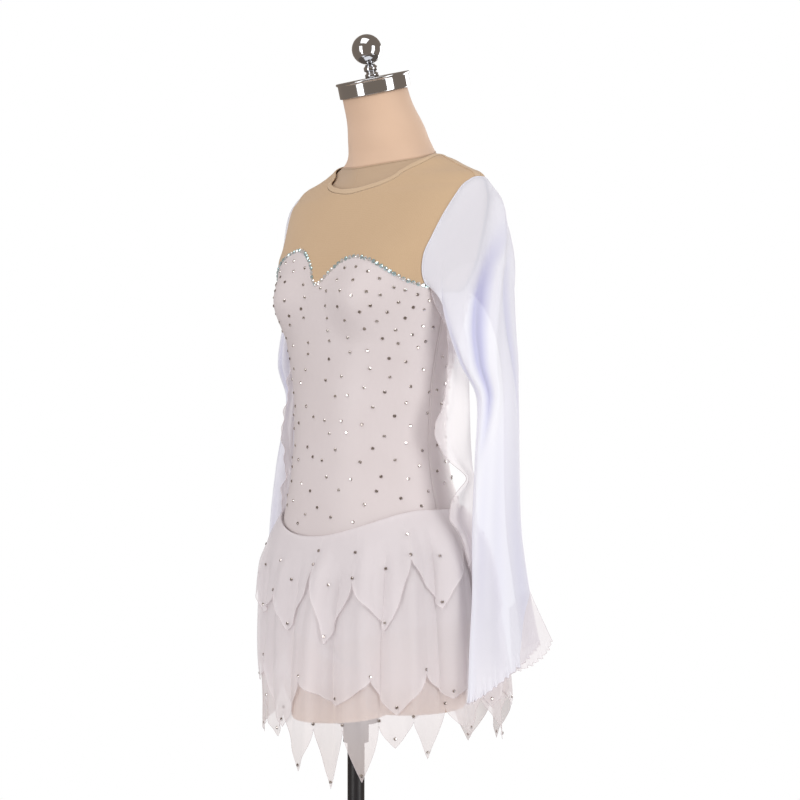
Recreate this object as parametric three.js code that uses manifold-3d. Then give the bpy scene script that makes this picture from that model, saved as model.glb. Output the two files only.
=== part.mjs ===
// A rhythmic gymnastics dress on a limbless dress form with its stand.
// Millimetres, +Z up, front towards -Y, the wearer's left towards +X.
// The origin is the centre of the base plate's underside, on the floor.
import * as THREE from 'three';
import { mergeVertices } from 'three/addons/utils/BufferGeometryUtils.js';
import Module from 'manifold-3d';

// ---- Driving dimensions ----

const GAP = 0.35; // between pieces that touch or are sewn together
const EASE = 0.5; // between the body sections and the cloth cut for them
const FORM_INSET = 2.6; // how far the form stays inside those sections
const LYCRA = 1.1; // bodice, brief and yoke wall
const CHIFFON = 1; // skirt, sleeve and flounce wall
// Columns round the body, from the front middle to the left side and from there to the back.
const FRONT_TURNS = [0, 2, 6, 12, 18, 25, 32, 40, 48, 57, 66, 78, 90];
const BACK_TURNS = [100, 110, 120, 130, 140, 150, 160, 170, 180];
const BACK_STEP = 10;

// Sections of the body that the garment is cut for, from the seat up to the neck's top.
// side: half width. mid: where the widest line lies in Y. front and back: reach from Y = 0.
// square: 2 is an ellipse, more is boxier. ridge: how much the shoulder line is a ridge.
const BODY = [
  { z: 664, side: 96, front: 42, back: 62, mid: 8, square: 2, ridge: 1 },
  { z: 668, side: 122, front: 62, back: 84, mid: 8, square: 2, ridge: 1 },
  { z: 678, side: 142, front: 80, back: 102, mid: 8, square: 2.1, ridge: 1 },
  { z: 695, side: 153, front: 94, back: 117, mid: 7, square: 2.2, ridge: 1 },
  { z: 730, side: 159, front: 108, back: 130, mid: 6, square: 2.2, ridge: 1 },
  { z: 790, side: 160, front: 119, back: 135, mid: 5, square: 2.2, ridge: 1 },
  { z: 840, side: 151, front: 119, back: 129, mid: 3, square: 2.1, ridge: 1 },
  { z: 892, side: 135, front: 115, back: 112, mid: 0, square: 2.1, ridge: 1 },
  { z: 940, side: 123, front: 111, back: 96, mid: 0, square: 2.1, ridge: 1 },
  { z: 991, side: 118, front: 108, back: 88, mid: 0, square: 2.1, ridge: 1 },
  { z: 1060, side: 123, front: 106, back: 90, mid: 0, square: 2.1, ridge: 1 },
  { z: 1120, side: 134, front: 106, back: 96, mid: 1, square: 2.3, ridge: 1 },
  { z: 1191, side: 152, front: 108, back: 102, mid: 3, square: 2.6, ridge: 1 },
  { z: 1245, side: 169, front: 96, back: 106, mid: 10, square: 2.6, ridge: 1 },
  { z: 1272, side: 179, front: 81, back: 107.5, mid: 15, square: 2.4, ridge: 1 },
  { z: 1300, side: 187, front: 66, back: 108, mid: 20, square: 2.3, ridge: 1 },
  { z: 1335, side: 194, front: 49, back: 107, mid: 27, square: 2.2, ridge: 1.2 },
  { z: 1350, side: 194, front: 42, back: 106, mid: 30, square: 2, ridge: 1.8 },
  { z: 1358, side: 190, front: 38, back: 105, mid: 32, square: 2, ridge: 2.2 },
  { z: 1364, side: 182, front: 36, back: 104.5, mid: 34, square: 2, ridge: 2.7 },
  { z: 1370, side: 166, front: 34, back: 104, mid: 36, square: 2, ridge: 3.6 },
  { z: 1378, side: 146, front: 31, back: 103, mid: 38, square: 2, ridge: 4.4 },
  { z: 1388, side: 123, front: 29.5, back: 102, mid: 40, square: 2, ridge: 4.6 },
  { z: 1396, side: 99, front: 29, back: 101, mid: 41, square: 2, ridge: 4.2 },
  { z: 1403, side: 82, front: 29, back: 100, mid: 41, square: 2, ridge: 3.4 },
  { z: 1413, side: 69, front: 30, back: 98, mid: 38, square: 2, ridge: 2 },
  { z: 1428, side: 62.5, front: 32, back: 92, mid: 31, square: 2, ridge: 1 },
  { z: 1446, side: 59, front: 34, back: 84, mid: 25, square: 2, ridge: 1 },
  { z: 1484, side: 52.5, front: 45.5, back: 60, mid: 7, square: 2, ridge: 1 },
  { z: 1540, side: 50, front: 62, back: 38, mid: -12, square: 2, ridge: 1 },
];
const NECK_HALF = 62; // half width that a ridge's extra width is added to
const CUP = { x: 78, z: 1186, half: 66, rise: 17 };

// Neck of the form: where its cover is joined, and the slanted chrome cap on top.
const NECK_SLOPE = 0.27; // rise of both planes per mm towards the back
const NECK_JOIN_Z = 1390; // at Y = 0
const NECK_TOP_Z = 1492; // at Y = 0
const CAP = { radius: 52.5, height: 23, lip: 2.2, lipHeight: 4 };
const STEM = { radius: 10, height: 19 };
const BALL_RADIUS = 21.8;

// Thigh stumps of the form. The right one is longer and holds the pole.
const STUMPS = [
  { name: 'left', x: 84, y: 8, width: 62, depth: 80, bottom: 604 },
  { name: 'right', x: -84, y: 8, width: 62, depth: 80, bottom: 572 },
];
const STUMP_TOP = 740;

const POLE = { x: -62, y: 20, radius: 12.7 };
const SOCKET = { flange: 34, flangeHeight: 6, collar: 19, height: 30 };
const BASE = { radius: 190, height: 10, edge: 3, collar: 24, collarHeight: 26 };

// The sweetheart edge outwards from the middle of the front: its height on either side.
const SWEETHEART = [
  { x: 0, left: 1208, right: 1208 },
  { x: 9, left: 1214, right: 1214 },
  { x: 20, left: 1223, right: 1234 },
  { x: 35, left: 1235, right: 1249 },
  { x: 50, left: 1243, right: 1258 },
  { x: 66, left: 1246, right: 1262 },
  { x: 92, left: 1241, right: 1257 },
  { x: 120, left: 1226, right: 1242 },
  { x: 140, left: 1211, right: 1222 },
  { x: 153, left: 1203, right: 1203 },
  { x: 170, left: 1192, right: 1192 },
];
const BACK_EDGE_Z = 1206; // top of the bodice across the back
const ARMHOLE = { z: 1276, half: 80, turn: 27, fullness: 0.7 };
const NECKLINE = { front: 1346, side: 1396, back: 1398 };
const BINDING_WIDTH = 9;

// The waist seam dips in a U at the front.
const WAIST_SEAM = { side: 887, front: 849, reach: 78 };
const SEAM_DROP = 0.55; // from the bodice's lower edge to the skirt's and the brief's upper one
const LEG_EDGE = { side: 733, middle: 692 };
const GUSSET_HALF = 17;

// Sections of the skirt below the hip. Columns as in BODY.
const SKIRT = [
  { z: 470, side: 176, front: 148, back: 212, mid: 10, square: 2 },
  { z: 556, side: 176, front: 149, back: 204, mid: 10, square: 2 },
  { z: 640, side: 176, front: 152, back: 190, mid: 9, square: 2 },
  { z: 705, side: 174, front: 151, back: 176, mid: 8, square: 2 },
  { z: 790, side: 170, front: 141, back: 155, mid: 6, square: 2.1 },
  { z: 840, side: 163, front: 134, back: 143, mid: 4, square: 2.1 },
  { z: 900, side: 150, front: 125, back: 128, mid: 2, square: 2.1 },
];
const SKIRT_PUFF = 62; // drop below the seam in which the skirt leaves the body
const GATHER_ROWS = [42, 26, 12, 0]; // drops of the rows near the seam, alike on every layer
const FLUTES = { count: 13, second: 8, rise: 8, full: 300 };
const LAYER_GAP = 0.85; // between two layers at the waist seam
const LAYER_SPREAD = 3.2; // extra room between two layers at the hem

// Hem leaves of each layer: the turn and height of a tip, then those of the notch after it.
// Turns run from the front middle towards the wearer's left.
const LEAVES_UPPER = [
  { tip: -30, tipZ: 737, notch: -12, notchZ: 768 },
  { tip: -2, tipZ: 720, notch: 12, notchZ: 806 },
  { tip: 20, tipZ: 706, notch: 34, notchZ: 792 },
  { tip: 51, tipZ: 727, notch: 62, notchZ: 824 },
  { tip: 80, tipZ: 756, notch: 92, notchZ: 838 },
  { tip: 112, tipZ: 722, notch: 127, notchZ: 806 },
  { tip: 143, tipZ: 735, notch: 160, notchZ: 797 },
  { tip: 178, tipZ: 712, notch: 196, notchZ: 812 },
  { tip: 212, tipZ: 740, notch: 226, notchZ: 800 },
  { tip: 243, tipZ: 715, notch: 261, notchZ: 826 },
  { tip: 277, tipZ: 742, notch: 293, notchZ: 798 },
  { tip: 309, tipZ: 716, notch: 318, notchZ: 784 },
];
const LEAVES_MIDDLE = [
  { tip: -40, tipZ: 636, notch: -22, notchZ: 672 },
  { tip: -5, tipZ: 584, notch: 9, notchZ: 652 },
  { tip: 27, tipZ: 622, notch: 42, notchZ: 660 },
  { tip: 55, tipZ: 612, notch: 68, notchZ: 668 },
  { tip: 83, tipZ: 632, notch: 97, notchZ: 682 },
  { tip: 110, tipZ: 610, notch: 126, notchZ: 676 },
  { tip: 141, tipZ: 596, notch: 155, notchZ: 668 },
  { tip: 170, tipZ: 618, notch: 188, notchZ: 680 },
  { tip: 203, tipZ: 592, notch: 219, notchZ: 664 },
  { tip: 236, tipZ: 622, notch: 251, notchZ: 677 },
  { tip: 268, tipZ: 600, notch: 281, notchZ: 668 },
  { tip: 296, tipZ: 628, notch: 308, notchZ: 684 },
];
const LEAVES_LOWER = [
  { tip: -48, tipZ: 556, notch: -29, notchZ: 612 },
  { tip: -14, tipZ: 566, notch: -4, notchZ: 606 },
  { tip: 6, tipZ: 526, notch: 14, notchZ: 588 },
  { tip: 21, tipZ: 504, notch: 30, notchZ: 590 },
  { tip: 38, tipZ: 519, notch: 46, notchZ: 596 },
  { tip: 54, tipZ: 566, notch: 62, notchZ: 604 },
  { tip: 70, tipZ: 549, notch: 80, notchZ: 618 },
  { tip: 94, tipZ: 574, notch: 106, notchZ: 622 },
  { tip: 124, tipZ: 555, notch: 139, notchZ: 628 },
  { tip: 155, tipZ: 540, notch: 169, notchZ: 612 },
  { tip: 184, tipZ: 522, notch: 198, notchZ: 606 },
  { tip: 214, tipZ: 548, notch: 228, notchZ: 618 },
  { tip: 242, tipZ: 530, notch: 256, notchZ: 610 },
  { tip: 270, tipZ: 563, notch: 284, notchZ: 616 },
];

// Sections of a hanging sleeve, an oval that is open towards the body.
// out: middle of the oval in X. deep: half depth in X. mid: middle in Y. wide: half width in Y.
// skew: how much further out the back end is than the front end, halved.
const SLEEVE = [
  { z: 620, out: 213, deep: 15, mid: 62, wide: 73, skew: 2 },
  { z: 700, out: 213, deep: 15, mid: 58, wide: 67, skew: 2 },
  { z: 770, out: 212, deep: 16, mid: 52, wide: 55, skew: 3 },
  { z: 870, out: 210, deep: 17, mid: 45, wide: 43, skew: 4 },
  { z: 960, out: 207, deep: 18, mid: 49, wide: 36, skew: 5 },
  { z: 1045, out: 202, deep: 18, mid: 55, wide: 31, skew: 7 },
  { z: 1100, out: 196, deep: 18, mid: 42, wide: 45, skew: 11 },
  { z: 1150, out: 189, deep: 17, mid: 34, wide: 50, skew: 15 },
  { z: 1200, out: 184, deep: 16, mid: 30, wide: 53, skew: 18 },
  { z: 1250, out: 182, deep: 16, mid: 28, wide: 56, skew: 19 },
];
const SLEEVE_OPEN = 22; // degrees of the armhole to each side of the underarm left open
const ARM_SEAM = 0.95; // from the armhole's edge to the middle of the sleeve's wall
const SLEEVE_WRAP = 138; // degrees from the outside of the oval to each free edge
const SLEEVE_HEM = { front: 628, back: 703 };
const SLEEVE_CAP = { share: 0.36, top: 1238, edge: 1115, out: 22, rise: 0 };
const RIGHT_SWING = { reach: 29, from: 1230, over: 165, back: 0 }; // how the right sleeve hangs
// Folds of a sleeve: place round it, height of the middle, half height, half width and depth.
const SLEEVE_FOLDS = [
  { along: 0.36, z: 1185, half: 150, width: 0.07, depth: 8 },
  { along: 0.62, z: 1020, half: 260, width: 0.06, depth: 4 },
  { along: 0.44, z: 860, half: 240, width: 0.05, depth: 4 },
];

// Sections of the flounce in the underarm, from its wavy front edge to its back edge.
const FLOUNCE = [
  { z: 812, frontX: 186, frontY: 14, backX: 187, backY: 36 },
  { z: 850, frontX: 180, frontY: 8, backX: 186, backY: 34 },
  { z: 882, frontX: 170, frontY: -7, backX: 185, backY: 31 },
  { z: 908, frontX: 172, frontY: -4, backX: 184, backY: 29 },
  { z: 935, frontX: 183, frontY: 12, backX: 183, backY: 27 },
  { z: 962, frontX: 164, frontY: -6, backX: 181, backY: 25 },
  { z: 1000, frontX: 153, frontY: -20, backX: 179, backY: 24 },
  { z: 1050, frontX: 158, frontY: -5, backX: 176, backY: 25 },
  { z: 1110, frontX: 160, frontY: -1, backX: 170, backY: 29 },
  { z: 1175, frontX: 157, frontY: -2, backX: 159, backY: 25 },
];
const FLOUNCE_TOP = { from: 17, to: -17 }; // degrees round the armhole
const FLOUNCE_WAVE = { count: 1.5, rise: 3 };

// ---- Colours ----

const SKIN_MESH = { color: 0xc9ac90, roughness: 0.75, metalness: 0 };
const WHITE_LYCRA = { color: 0xe9e2e4, roughness: 0.6, metalness: 0 };
const WHITE_CHIFFON = { color: 0xf2f1f8, roughness: 0.7, metalness: 0 };
const FORM_COVER = { color: 0xdcbc9f, roughness: 0.7, metalness: 0 };
const CHROME = { color: 0xb9bcc0, roughness: 0.15, metalness: 1 };
const BLACK_PAINT = { color: 0x1d1c1e, roughness: 0.4, metalness: 0.2 };

// ---- Curves and surfaces ----

const RAD = Math.PI / 180;
const clamp01 = (value) => Math.min(1, Math.max(0, value));
const smooth = (value) => clamp01(value) ** 2 * (3 - 2 * clamp01(value));
const mix = (a, b, share) => a + (b - a) * share;

/** The named columns of a table where its key is at a value, on a monotone curve through the rows. */
function rowAt(table, key, value) {
  const last = table.length - 1;
  if (value <= table[0][key]) return table[0];
  if (value >= table[last][key]) return table[last];
  let i = 0;
  while (table[i + 1][key] < value) i += 1;
  const step = (j) => table[j + 1][key] - table[j][key];
  const secant = (name, j) => (table[j + 1][name] - table[j][name]) / step(j);
  const slope = (name, j) => {
    if (j === 0) return secant(name, 0);
    if (j === last) return secant(name, last - 1);
    const before = secant(name, j - 1);
    const after = secant(name, j);
    if (before * after <= 0) return 0;
    const weight = (step(j) * 2 + step(j - 1)) / (3 * (step(j) + step(j - 1)));
    return (before * after) / (weight * after + (1 - weight) * before);
  };
  const s = (value - table[i][key]) / step(i);
  const row = {};
  for (const name of Object.keys(table[i])) {
    row[name] =
      table[i][name] * (1 + 2 * s) * (1 - s) ** 2 +
      table[i + 1][name] * s * s * (3 - 2 * s) +
      slope(name, i) * step(i) * s * (1 - s) ** 2 +
      slope(name, i + 1) * step(i) * s * s * (s - 1);
  }
  row[key] = value;
  return row;
}

/** A point of a section, where turn 0 is the front middle and 90 the wearer's left side. */
function sectionPoint(row, turn) {
  const s = Math.sin(turn * RAD);
  const c = Math.cos(turn * RAD);
  const { square, ridge = 1 } = row;
  const core = Math.min(row.side, NECK_HALF) * Math.abs(s) ** (2 / square);
  const wing = Math.max(0, row.side - NECK_HALF) * Math.abs(s) ** ((2 * ridge) / square);
  const x = Math.sign(s) * (core + wing);
  const depth = c > 0 ? row.front + row.mid : row.back - row.mid;
  const y = row.mid - depth * Math.sign(c) * Math.abs(c) ** (2 / square);
  return new THREE.Vector3(x, y, row.z);
}

function bodyPoint(turn, z) {
  const point = sectionPoint(rowAt(BODY, 'z', z), turn);
  const away = Math.hypot(Math.abs(point.x) - CUP.x, z - CUP.z) / CUP.half;
  if (Math.cos(turn * RAD) > 0 && away < 1) {
    point.y -= CUP.rise * Math.cos((away * Math.PI) / 2) ** 2;
  }
  return point;
}

/** A surface moved out along its normal. u and v are steps of the surface's own parameters. */
function movedOut(surface, u, v, du, dv, distance) {
  const along = surface(u + du, v).sub(surface(u - du, v));
  const up = surface(u, v + dv).sub(surface(u, v - dv));
  return surface(u, v).addScaledVector(along.cross(up).normalize(), distance);
}

const onBody = (turn, z, distance) => movedOut(bodyPoint, turn, z, 0.4, 0.6, distance);

/** Numbers from a to b in equal steps no longer than the one given. */
function spaced(a, b, longest) {
  const count = Math.max(1, Math.ceil(Math.abs(b - a) / longest - 1e-6));
  return Array.from({ length: count + 1 }, (_, i) => mix(a, b, i / count));
}

// ---- Solids ----

/** A geometry of points and triangles, turned so that its faces point out. */
function solid(points, faces) {
  let volume = 0;
  for (const [a, b, c] of faces) volume += points[a].dot(points[b].clone().cross(points[c]));
  const index = faces.flatMap(([a, b, c]) => (volume > 0 ? [a, b, c] : [a, c, b]));
  const geometry = new THREE.BufferGeometry();
  const positions = new Float32Array(points.flatMap((p) => [p.x, p.y, p.z]));
  geometry.setAttribute('position', new THREE.BufferAttribute(positions, 3));
  geometry.setIndex(index);
  geometry.computeVertexNormals();
  return geometry;
}

/** Two triangles for each cell between rows of vertex numbers. */
function strip(faces, lower, upper) {
  for (let i = 0; i + 1 < lower.length; i += 1) {
    faces.push([lower[i], lower[i + 1], upper[i + 1]], [lower[i], upper[i + 1], upper[i]]);
  }
}

/** A cloth wall between two skins of a surface, closed by a rim along its four edges. */
function wall(skin, us, vs, inner, outer) {
  const points = [];
  const sheet = (distance) =>
    vs.map((v) => us.map((u) => points.push(skin(u, v, distance)) - 1));
  const outside = sheet(outer);
  const inside = sheet(inner);
  const faces = [];
  const lining = []; // cut along the outer skin's diagonals, so that no twist thins the wall
  for (let j = 0; j + 1 < vs.length; j += 1) {
    strip(faces, outside[j], outside[j + 1]);
    strip(lining, inside[j], inside[j + 1]);
  }
  for (const [a, b, c] of lining) faces.push([a, c, b]);
  const top = vs.length - 1;
  const end = us.length - 1;
  strip(faces, inside[0], outside[0]);
  strip(faces, outside[top], inside[top]);
  strip(faces, outside.map((row) => row[0]), inside.map((row) => row[0]));
  strip(faces, inside.map((row) => row[end]), outside.map((row) => row[end]));
  return solid(points, faces);
}

/** A closed solid through rings of points, with a flat fan on each end. */
function loft(rings) {
  const points = rings.flat();
  const count = rings[0].length;
  const faces = [];
  rings.slice(1).forEach((_, j) => {
    const ring = (k) => Array.from({ length: count + 1 }, (__, i) => k * count + (i % count));
    strip(faces, ring(j), ring(j + 1));
  });
  for (const [ring, flip] of [[rings[0], true], [rings.at(-1), false]]) {
    const centre = ring.reduce((sum, p) => sum.add(p), new THREE.Vector3());
    points.push(centre.divideScalar(count));
    const start = flip ? 0 : (rings.length - 1) * count;
    for (let i = 0; i < count; i += 1) {
      const [a, b] = [start + i, start + ((i + 1) % count)];
      faces.push(flip ? [points.length - 1, b, a] : [points.length - 1, a, b]);
    }
  }
  return solid(points, faces);
}

const wasm = await Module();
wasm.setup();

function toManifold(geometry) {
  const bare = new THREE.BufferGeometry();
  bare.setAttribute('position', geometry.getAttribute('position').clone());
  bare.setIndex(geometry.getIndex());
  const merged = mergeVertices(bare, 1e-4);
  return new wasm.Manifold(
    new wasm.Mesh({
      numProp: 3,
      vertProperties: new Float32Array(merged.getAttribute('position').array),
      triVerts: new Uint32Array(merged.getIndex().array),
    }),
  );
}

function fromManifold(body) {
  const mesh = body.getMesh();
  const geometry = new THREE.BufferGeometry();
  geometry.setAttribute('position', new THREE.BufferAttribute(mesh.vertProperties, 3));
  geometry.setIndex(new THREE.BufferAttribute(mesh.triVerts, 1));
  geometry.computeVertexNormals();
  return geometry;
}

const dress = new THREE.Group();
dress.name = 'dress_on_form';

function addPiece(name, geometry, look) {
  const mesh = new THREE.Mesh(geometry, new THREE.MeshStandardMaterial(look));
  mesh.name = name;
  dress.add(mesh);
  return mesh;
}

// ---- Dress form ----

/** A slab far larger than the neck, above or below a plane that rises towards the back. */
function neckSlab(z, above) {
  const size = 4000;
  const slab = new THREE.BoxGeometry(size, size, size);
  slab.translate(0, 0, above ? size / 2 : -size / 2);
  slab.rotateX(Math.atan(NECK_SLOPE));
  slab.translate(0, 0, z);
  return toManifold(slab);
}

function bodyRings(heights, inset) {
  const left = [...FRONT_TURNS, ...BACK_TURNS];
  const turns = [...left, ...left.slice(1, -1).map((turn) => 360 - turn).reverse()];
  return heights.map((z) => turns.map((turn) => onBody(turn, z, -inset)));
}

function stump({ x, y, width, depth, bottom }) {
  const rows = [
    { z: bottom, scale: 0.94 },
    { z: bottom + 5, scale: 0.985 },
    { z: bottom + 14, scale: 1 },
    { z: 700, scale: 1.02 },
    { z: STUMP_TOP, scale: 0.9 },
  ];
  const count = 24;
  return loft(
    rows.map(({ z, scale }) =>
      Array.from({ length: count }, (_, i) => {
        const angle = (i / count) * 2 * Math.PI;
        const px = x + width * scale * Math.sin(angle);
        return new THREE.Vector3(px, y - depth * scale * Math.cos(angle), z);
      }),
    ),
  );
}

function makeForm() {
  const heights = [
    664, 668, 678, 695, 725, 757, 790, 825, 860, 892, 925, 958, 991, 1035, 1080, 1120, 1145,
    1167, 1188, 1210, 1232, 1255, 1280, 1305, 1327, 1344, 1358, 1370, 1382, 1393, 1402, 1412,
    1427, 1450, 1490, 1535,
  ];
  const whole = toManifold(loft(bodyRings(heights, FORM_INSET)));
  const body = STUMPS.reduce((sum, row) => sum.add(toManifold(stump(row))), whole);
  const torso = body.subtract(neckSlab(NECK_JOIN_Z, true));
  const neck = whole
    .subtract(neckSlab(NECK_JOIN_Z + GAP, false))
    .subtract(neckSlab(NECK_TOP_Z, true));
  addPiece('form_body', fromManifold(torso), FORM_COVER);
  addPiece('form_neck', fromManifold(neck), FORM_COVER);
}

/** A turned piece from rows of radius and height, standing on the neck's slanted top. */
function onNeckTop(name, rows, lift, look, sides = 32) {
  const profile = rows.map(([radius, z]) => new THREE.Vector2(radius, z));
  const geometry = new THREE.LatheGeometry(profile, sides);
  geometry.rotateX(Math.PI / 2);
  const mesh = addPiece(name, geometry, look);
  const tilt = Math.atan(NECK_SLOPE);
  const up = new THREE.Vector3(0, -Math.sin(tilt), Math.cos(tilt));
  const seat = rowAt(BODY, 'z', NECK_TOP_Z).mid;
  mesh.rotation.x = tilt;
  mesh.position.set(0, seat, NECK_TOP_Z + seat * NECK_SLOPE).addScaledVector(up, lift);
  return mesh;
}

function makeNeckCap() {
  const { radius, height, lip, lipHeight } = CAP;
  const cap = [
    [0, 0],
    [radius - 1, 0],
    [radius, 1],
    [radius, height - lipHeight],
    [radius + lip, height - lipHeight + 1.5],
    [radius + lip, height - 1],
    [radius + lip - 1, height],
    [0, height],
  ];
  onNeckTop('neck_cap', cap, GAP, CHROME);
  const { radius: thick, height: tall } = STEM;
  const stem = [
    [0, 0],
    [thick, 0],
    [thick, tall * 0.28],
    [thick - 2.5, tall * 0.36],
    [thick - 2.5, tall * 0.44],
    [thick, tall * 0.52],
    [thick, tall * 0.78],
    [thick - 3, tall],
    [0, tall],
  ];
  onNeckTop('finial_stem', stem, GAP * 2 + height, CHROME, 16);
  const steps = 12;
  const arc = Array.from({ length: steps + 1 }, (_, i) => {
    const angle = (i / steps) * Math.PI;
    return [BALL_RADIUS * Math.sin(angle), -BALL_RADIUS * Math.cos(angle)];
  });
  arc[0][0] = 0;
  arc[steps][0] = 0;
  onNeckTop('finial_ball', arc, GAP * 2 + height + tall + BALL_RADIUS, CHROME, 20);
}

/** A turned piece from rows of radius and height, round the pole's axis or the base's. */
function turned(name, rows, x, y, look, sides = 40) {
  const profile = rows.map(([radius, z]) => new THREE.Vector2(radius, z));
  const geometry = new THREE.LatheGeometry(profile, sides);
  geometry.rotateX(Math.PI / 2);
  addPiece(name, geometry, look).position.set(x, y, 0);
}

function makeStand() {
  const seat = STUMPS[1].bottom - GAP;
  const { flange, flangeHeight, collar, height } = SOCKET;
  const foot = seat - flangeHeight - height;
  const socket = [
    [0, foot],
    [collar - 1, foot],
    [collar, foot + 1],
    [collar, foot + height],
    [flange - 1, foot + height],
    [flange, foot + height + 1],
    [flange, seat],
    [0, seat],
  ];
  turned('stand_socket', socket, POLE.x, POLE.y, BLACK_PAINT, 20);
  const pole = [
    [0, BASE.height + GAP],
    [POLE.radius, BASE.height + GAP],
    [POLE.radius, foot - GAP],
    [0, foot - GAP],
  ];
  turned('stand_pole', pole, POLE.x, POLE.y, BLACK_PAINT, 20);
  const ring = [
    [POLE.radius + GAP + 0.2, BASE.height + GAP],
    [BASE.collar, BASE.height + GAP],
    [BASE.collar, BASE.height + BASE.collarHeight - 3],
    [BASE.collar - 3, BASE.height + BASE.collarHeight],
    [POLE.radius + GAP + 0.2, BASE.height + BASE.collarHeight],
    [POLE.radius + GAP + 0.2, BASE.height + GAP],
  ];
  turned('stand_collar', ring, POLE.x, POLE.y, BLACK_PAINT, 20);
  const plate = [
    [0, 0],
    [BASE.radius, 0],
    [BASE.radius, BASE.height - BASE.edge],
    [BASE.radius - BASE.edge, BASE.height],
    [0, BASE.height],
  ];
  turned('stand_base', plate, 0, 0, BLACK_PAINT, 36);
}

// ---- Seam lines on the body ----

/** Angle from the front middle, 0 to 180, whichever side the turn is on. */
const fromFront = (turn) => Math.abs(((((turn + 180) % 360) + 360) % 360) - 180);

function waistSeam(turn) {
  const share = smooth(1 - fromFront(turn) / WAIST_SEAM.reach);
  return mix(WAIST_SEAM.side, WAIST_SEAM.front, share);
}

/** Height of the sweetheart edge at a turn, found where it meets the body there. */
function sweetheart(turn) {
  const side = turn < 0 ? 'right' : 'left';
  let z = 1240;
  for (let i = 0; i < 12; i += 1) {
    z = mix(z, rowAt(SWEETHEART, 'x', Math.abs(bodyPoint(turn, z).x))[side], 0.7);
  }
  return z;
}

/** Turn and height round the left armhole: 0 is the underarm, 90 the front, 180 the shoulder. */
function armhole(angle, inset = 0) {
  const s = Math.sin(angle * RAD);
  const reach = ARMHOLE.turn * (1 - inset / 62);
  const turn = 90 - reach * Math.sign(s) * Math.abs(s) ** ARMHOLE.fullness;
  return [turn, ARMHOLE.z - (ARMHOLE.half - inset) * Math.cos(angle * RAD)];
}

/** Height of the armhole's lower edge at a turn beside the left underarm. */
function underarm(turn) {
  const share = Math.min(1, Math.abs(turn - 90) / ARMHOLE.turn) ** (1 / ARMHOLE.fullness);
  return ARMHOLE.z - ARMHOLE.half * Math.sqrt(1 - share * share);
}

function neckline(turn) {
  const f = fromFront(turn);
  if (f > 90) return mix(NECKLINE.side, NECKLINE.back, smooth((f - 90) / 60));
  return mix(NECKLINE.front, NECKLINE.side, Math.sin(f * RAD) ** 2.2);
}

/** Height at a distance along the body below the neckline, or above it where negative. */
function belowNeckline(turn, distance) {
  const steps = 8;
  let z = neckline(turn);
  for (let i = 0; i < steps; i += 1) {
    const length = bodyPoint(turn, z + 0.5).distanceTo(bodyPoint(turn, z - 0.5));
    z -= distance / steps / length;
  }
  return z;
}

/** Where an edge line crosses the armhole: the armhole's angle there, on its front or back. */
function crossing(line, from, to) {
  let [low, high] = [from, to];
  for (let i = 0; i < 40; i += 1) {
    const middle = (low + high) / 2;
    const [turn, z] = armhole(middle);
    if (z < line(turn)) low = middle;
    else high = middle;
  }
  return (low + high) / 2;
}

// ---- Bodice, brief and yoke ----

const LYCRA_IN = EASE;
const LYCRA_OUT = EASE + LYCRA;
const SEAM_TURN = 0.12; // half of the gap at a side seam, in degrees
const ARM_OUT = LYCRA_OUT + CHIFFON / 2 + GAP; // start of a sleeve above the body sections
const backLine = () => BACK_EDGE_Z;

/** A panel of the body between two edge lines over a range of turns. */
function bodyPanel(name, turns, bottom, top, shares, look) {
  const skin = (turn, share, distance) =>
    onBody(turn, mix(bottom(turn), top(turn), share), distance);
  addPiece(name, wall(skin, turns, shares, LYCRA_IN, LYCRA_OUT), look);
}

function makeBodice() {
  const frontMeet = crossing(sweetheart, 1, 89);
  const backMeet = 360 - crossing(() => backLine(), 1, 89);
  const frontTurn = armhole(frontMeet)[0];
  const backTurn = armhole(backMeet)[0];
  const across = [...FRONT_TURNS.filter((turn) => turn < frontTurn - 3), frontTurn];
  const half = [...across, ...spaced(frontTurn, 90 - SEAM_TURN, 7).slice(1)];
  const frontTop = (turn) => {
    const f = fromFront(turn);
    return f < frontTurn ? sweetheart(turn) : Math.min(sweetheart(frontTurn), underarm(f));
  };
  const front = [...half.slice(1).map((turn) => -turn).reverse(), ...half];
  const rows = [0, 0.16, 0.32, 0.46, 0.58, 0.68, 0.76, 0.825, 0.885, 0.945, 1];
  bodyPanel('bodice_front', front, waistSeam, frontTop, rows, WHITE_LYCRA);
  const backTop = (turn) => {
    const f = fromFront(turn);
    return f > backTurn ? backLine() : Math.min(backLine(), underarm(f));
  };
  const side = spaced(90 + SEAM_TURN, backTurn, 7);
  const rest = spaced(backTurn, 180, BACK_STEP).slice(1);
  const left = [...side, ...rest];
  const back = [...left, ...left.slice(0, -1).map((turn) => 360 - turn).reverse()];
  bodyPanel('bodice_back', back, waistSeam, backTop, spaced(0, 1, 1 / 8), WHITE_LYCRA);
  return { frontMeet, backMeet, frontTurn, backTurn, across, rest: [backTurn, ...rest] };
}

/** Lower edge of the brief: low beside the gusset, high at the side. */
function legEdge(turn) {
  const share = Math.abs(Math.sin(turn * RAD)) ** 0.9;
  return mix(LEG_EDGE.middle, LEG_EDGE.side, share);
}

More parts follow.
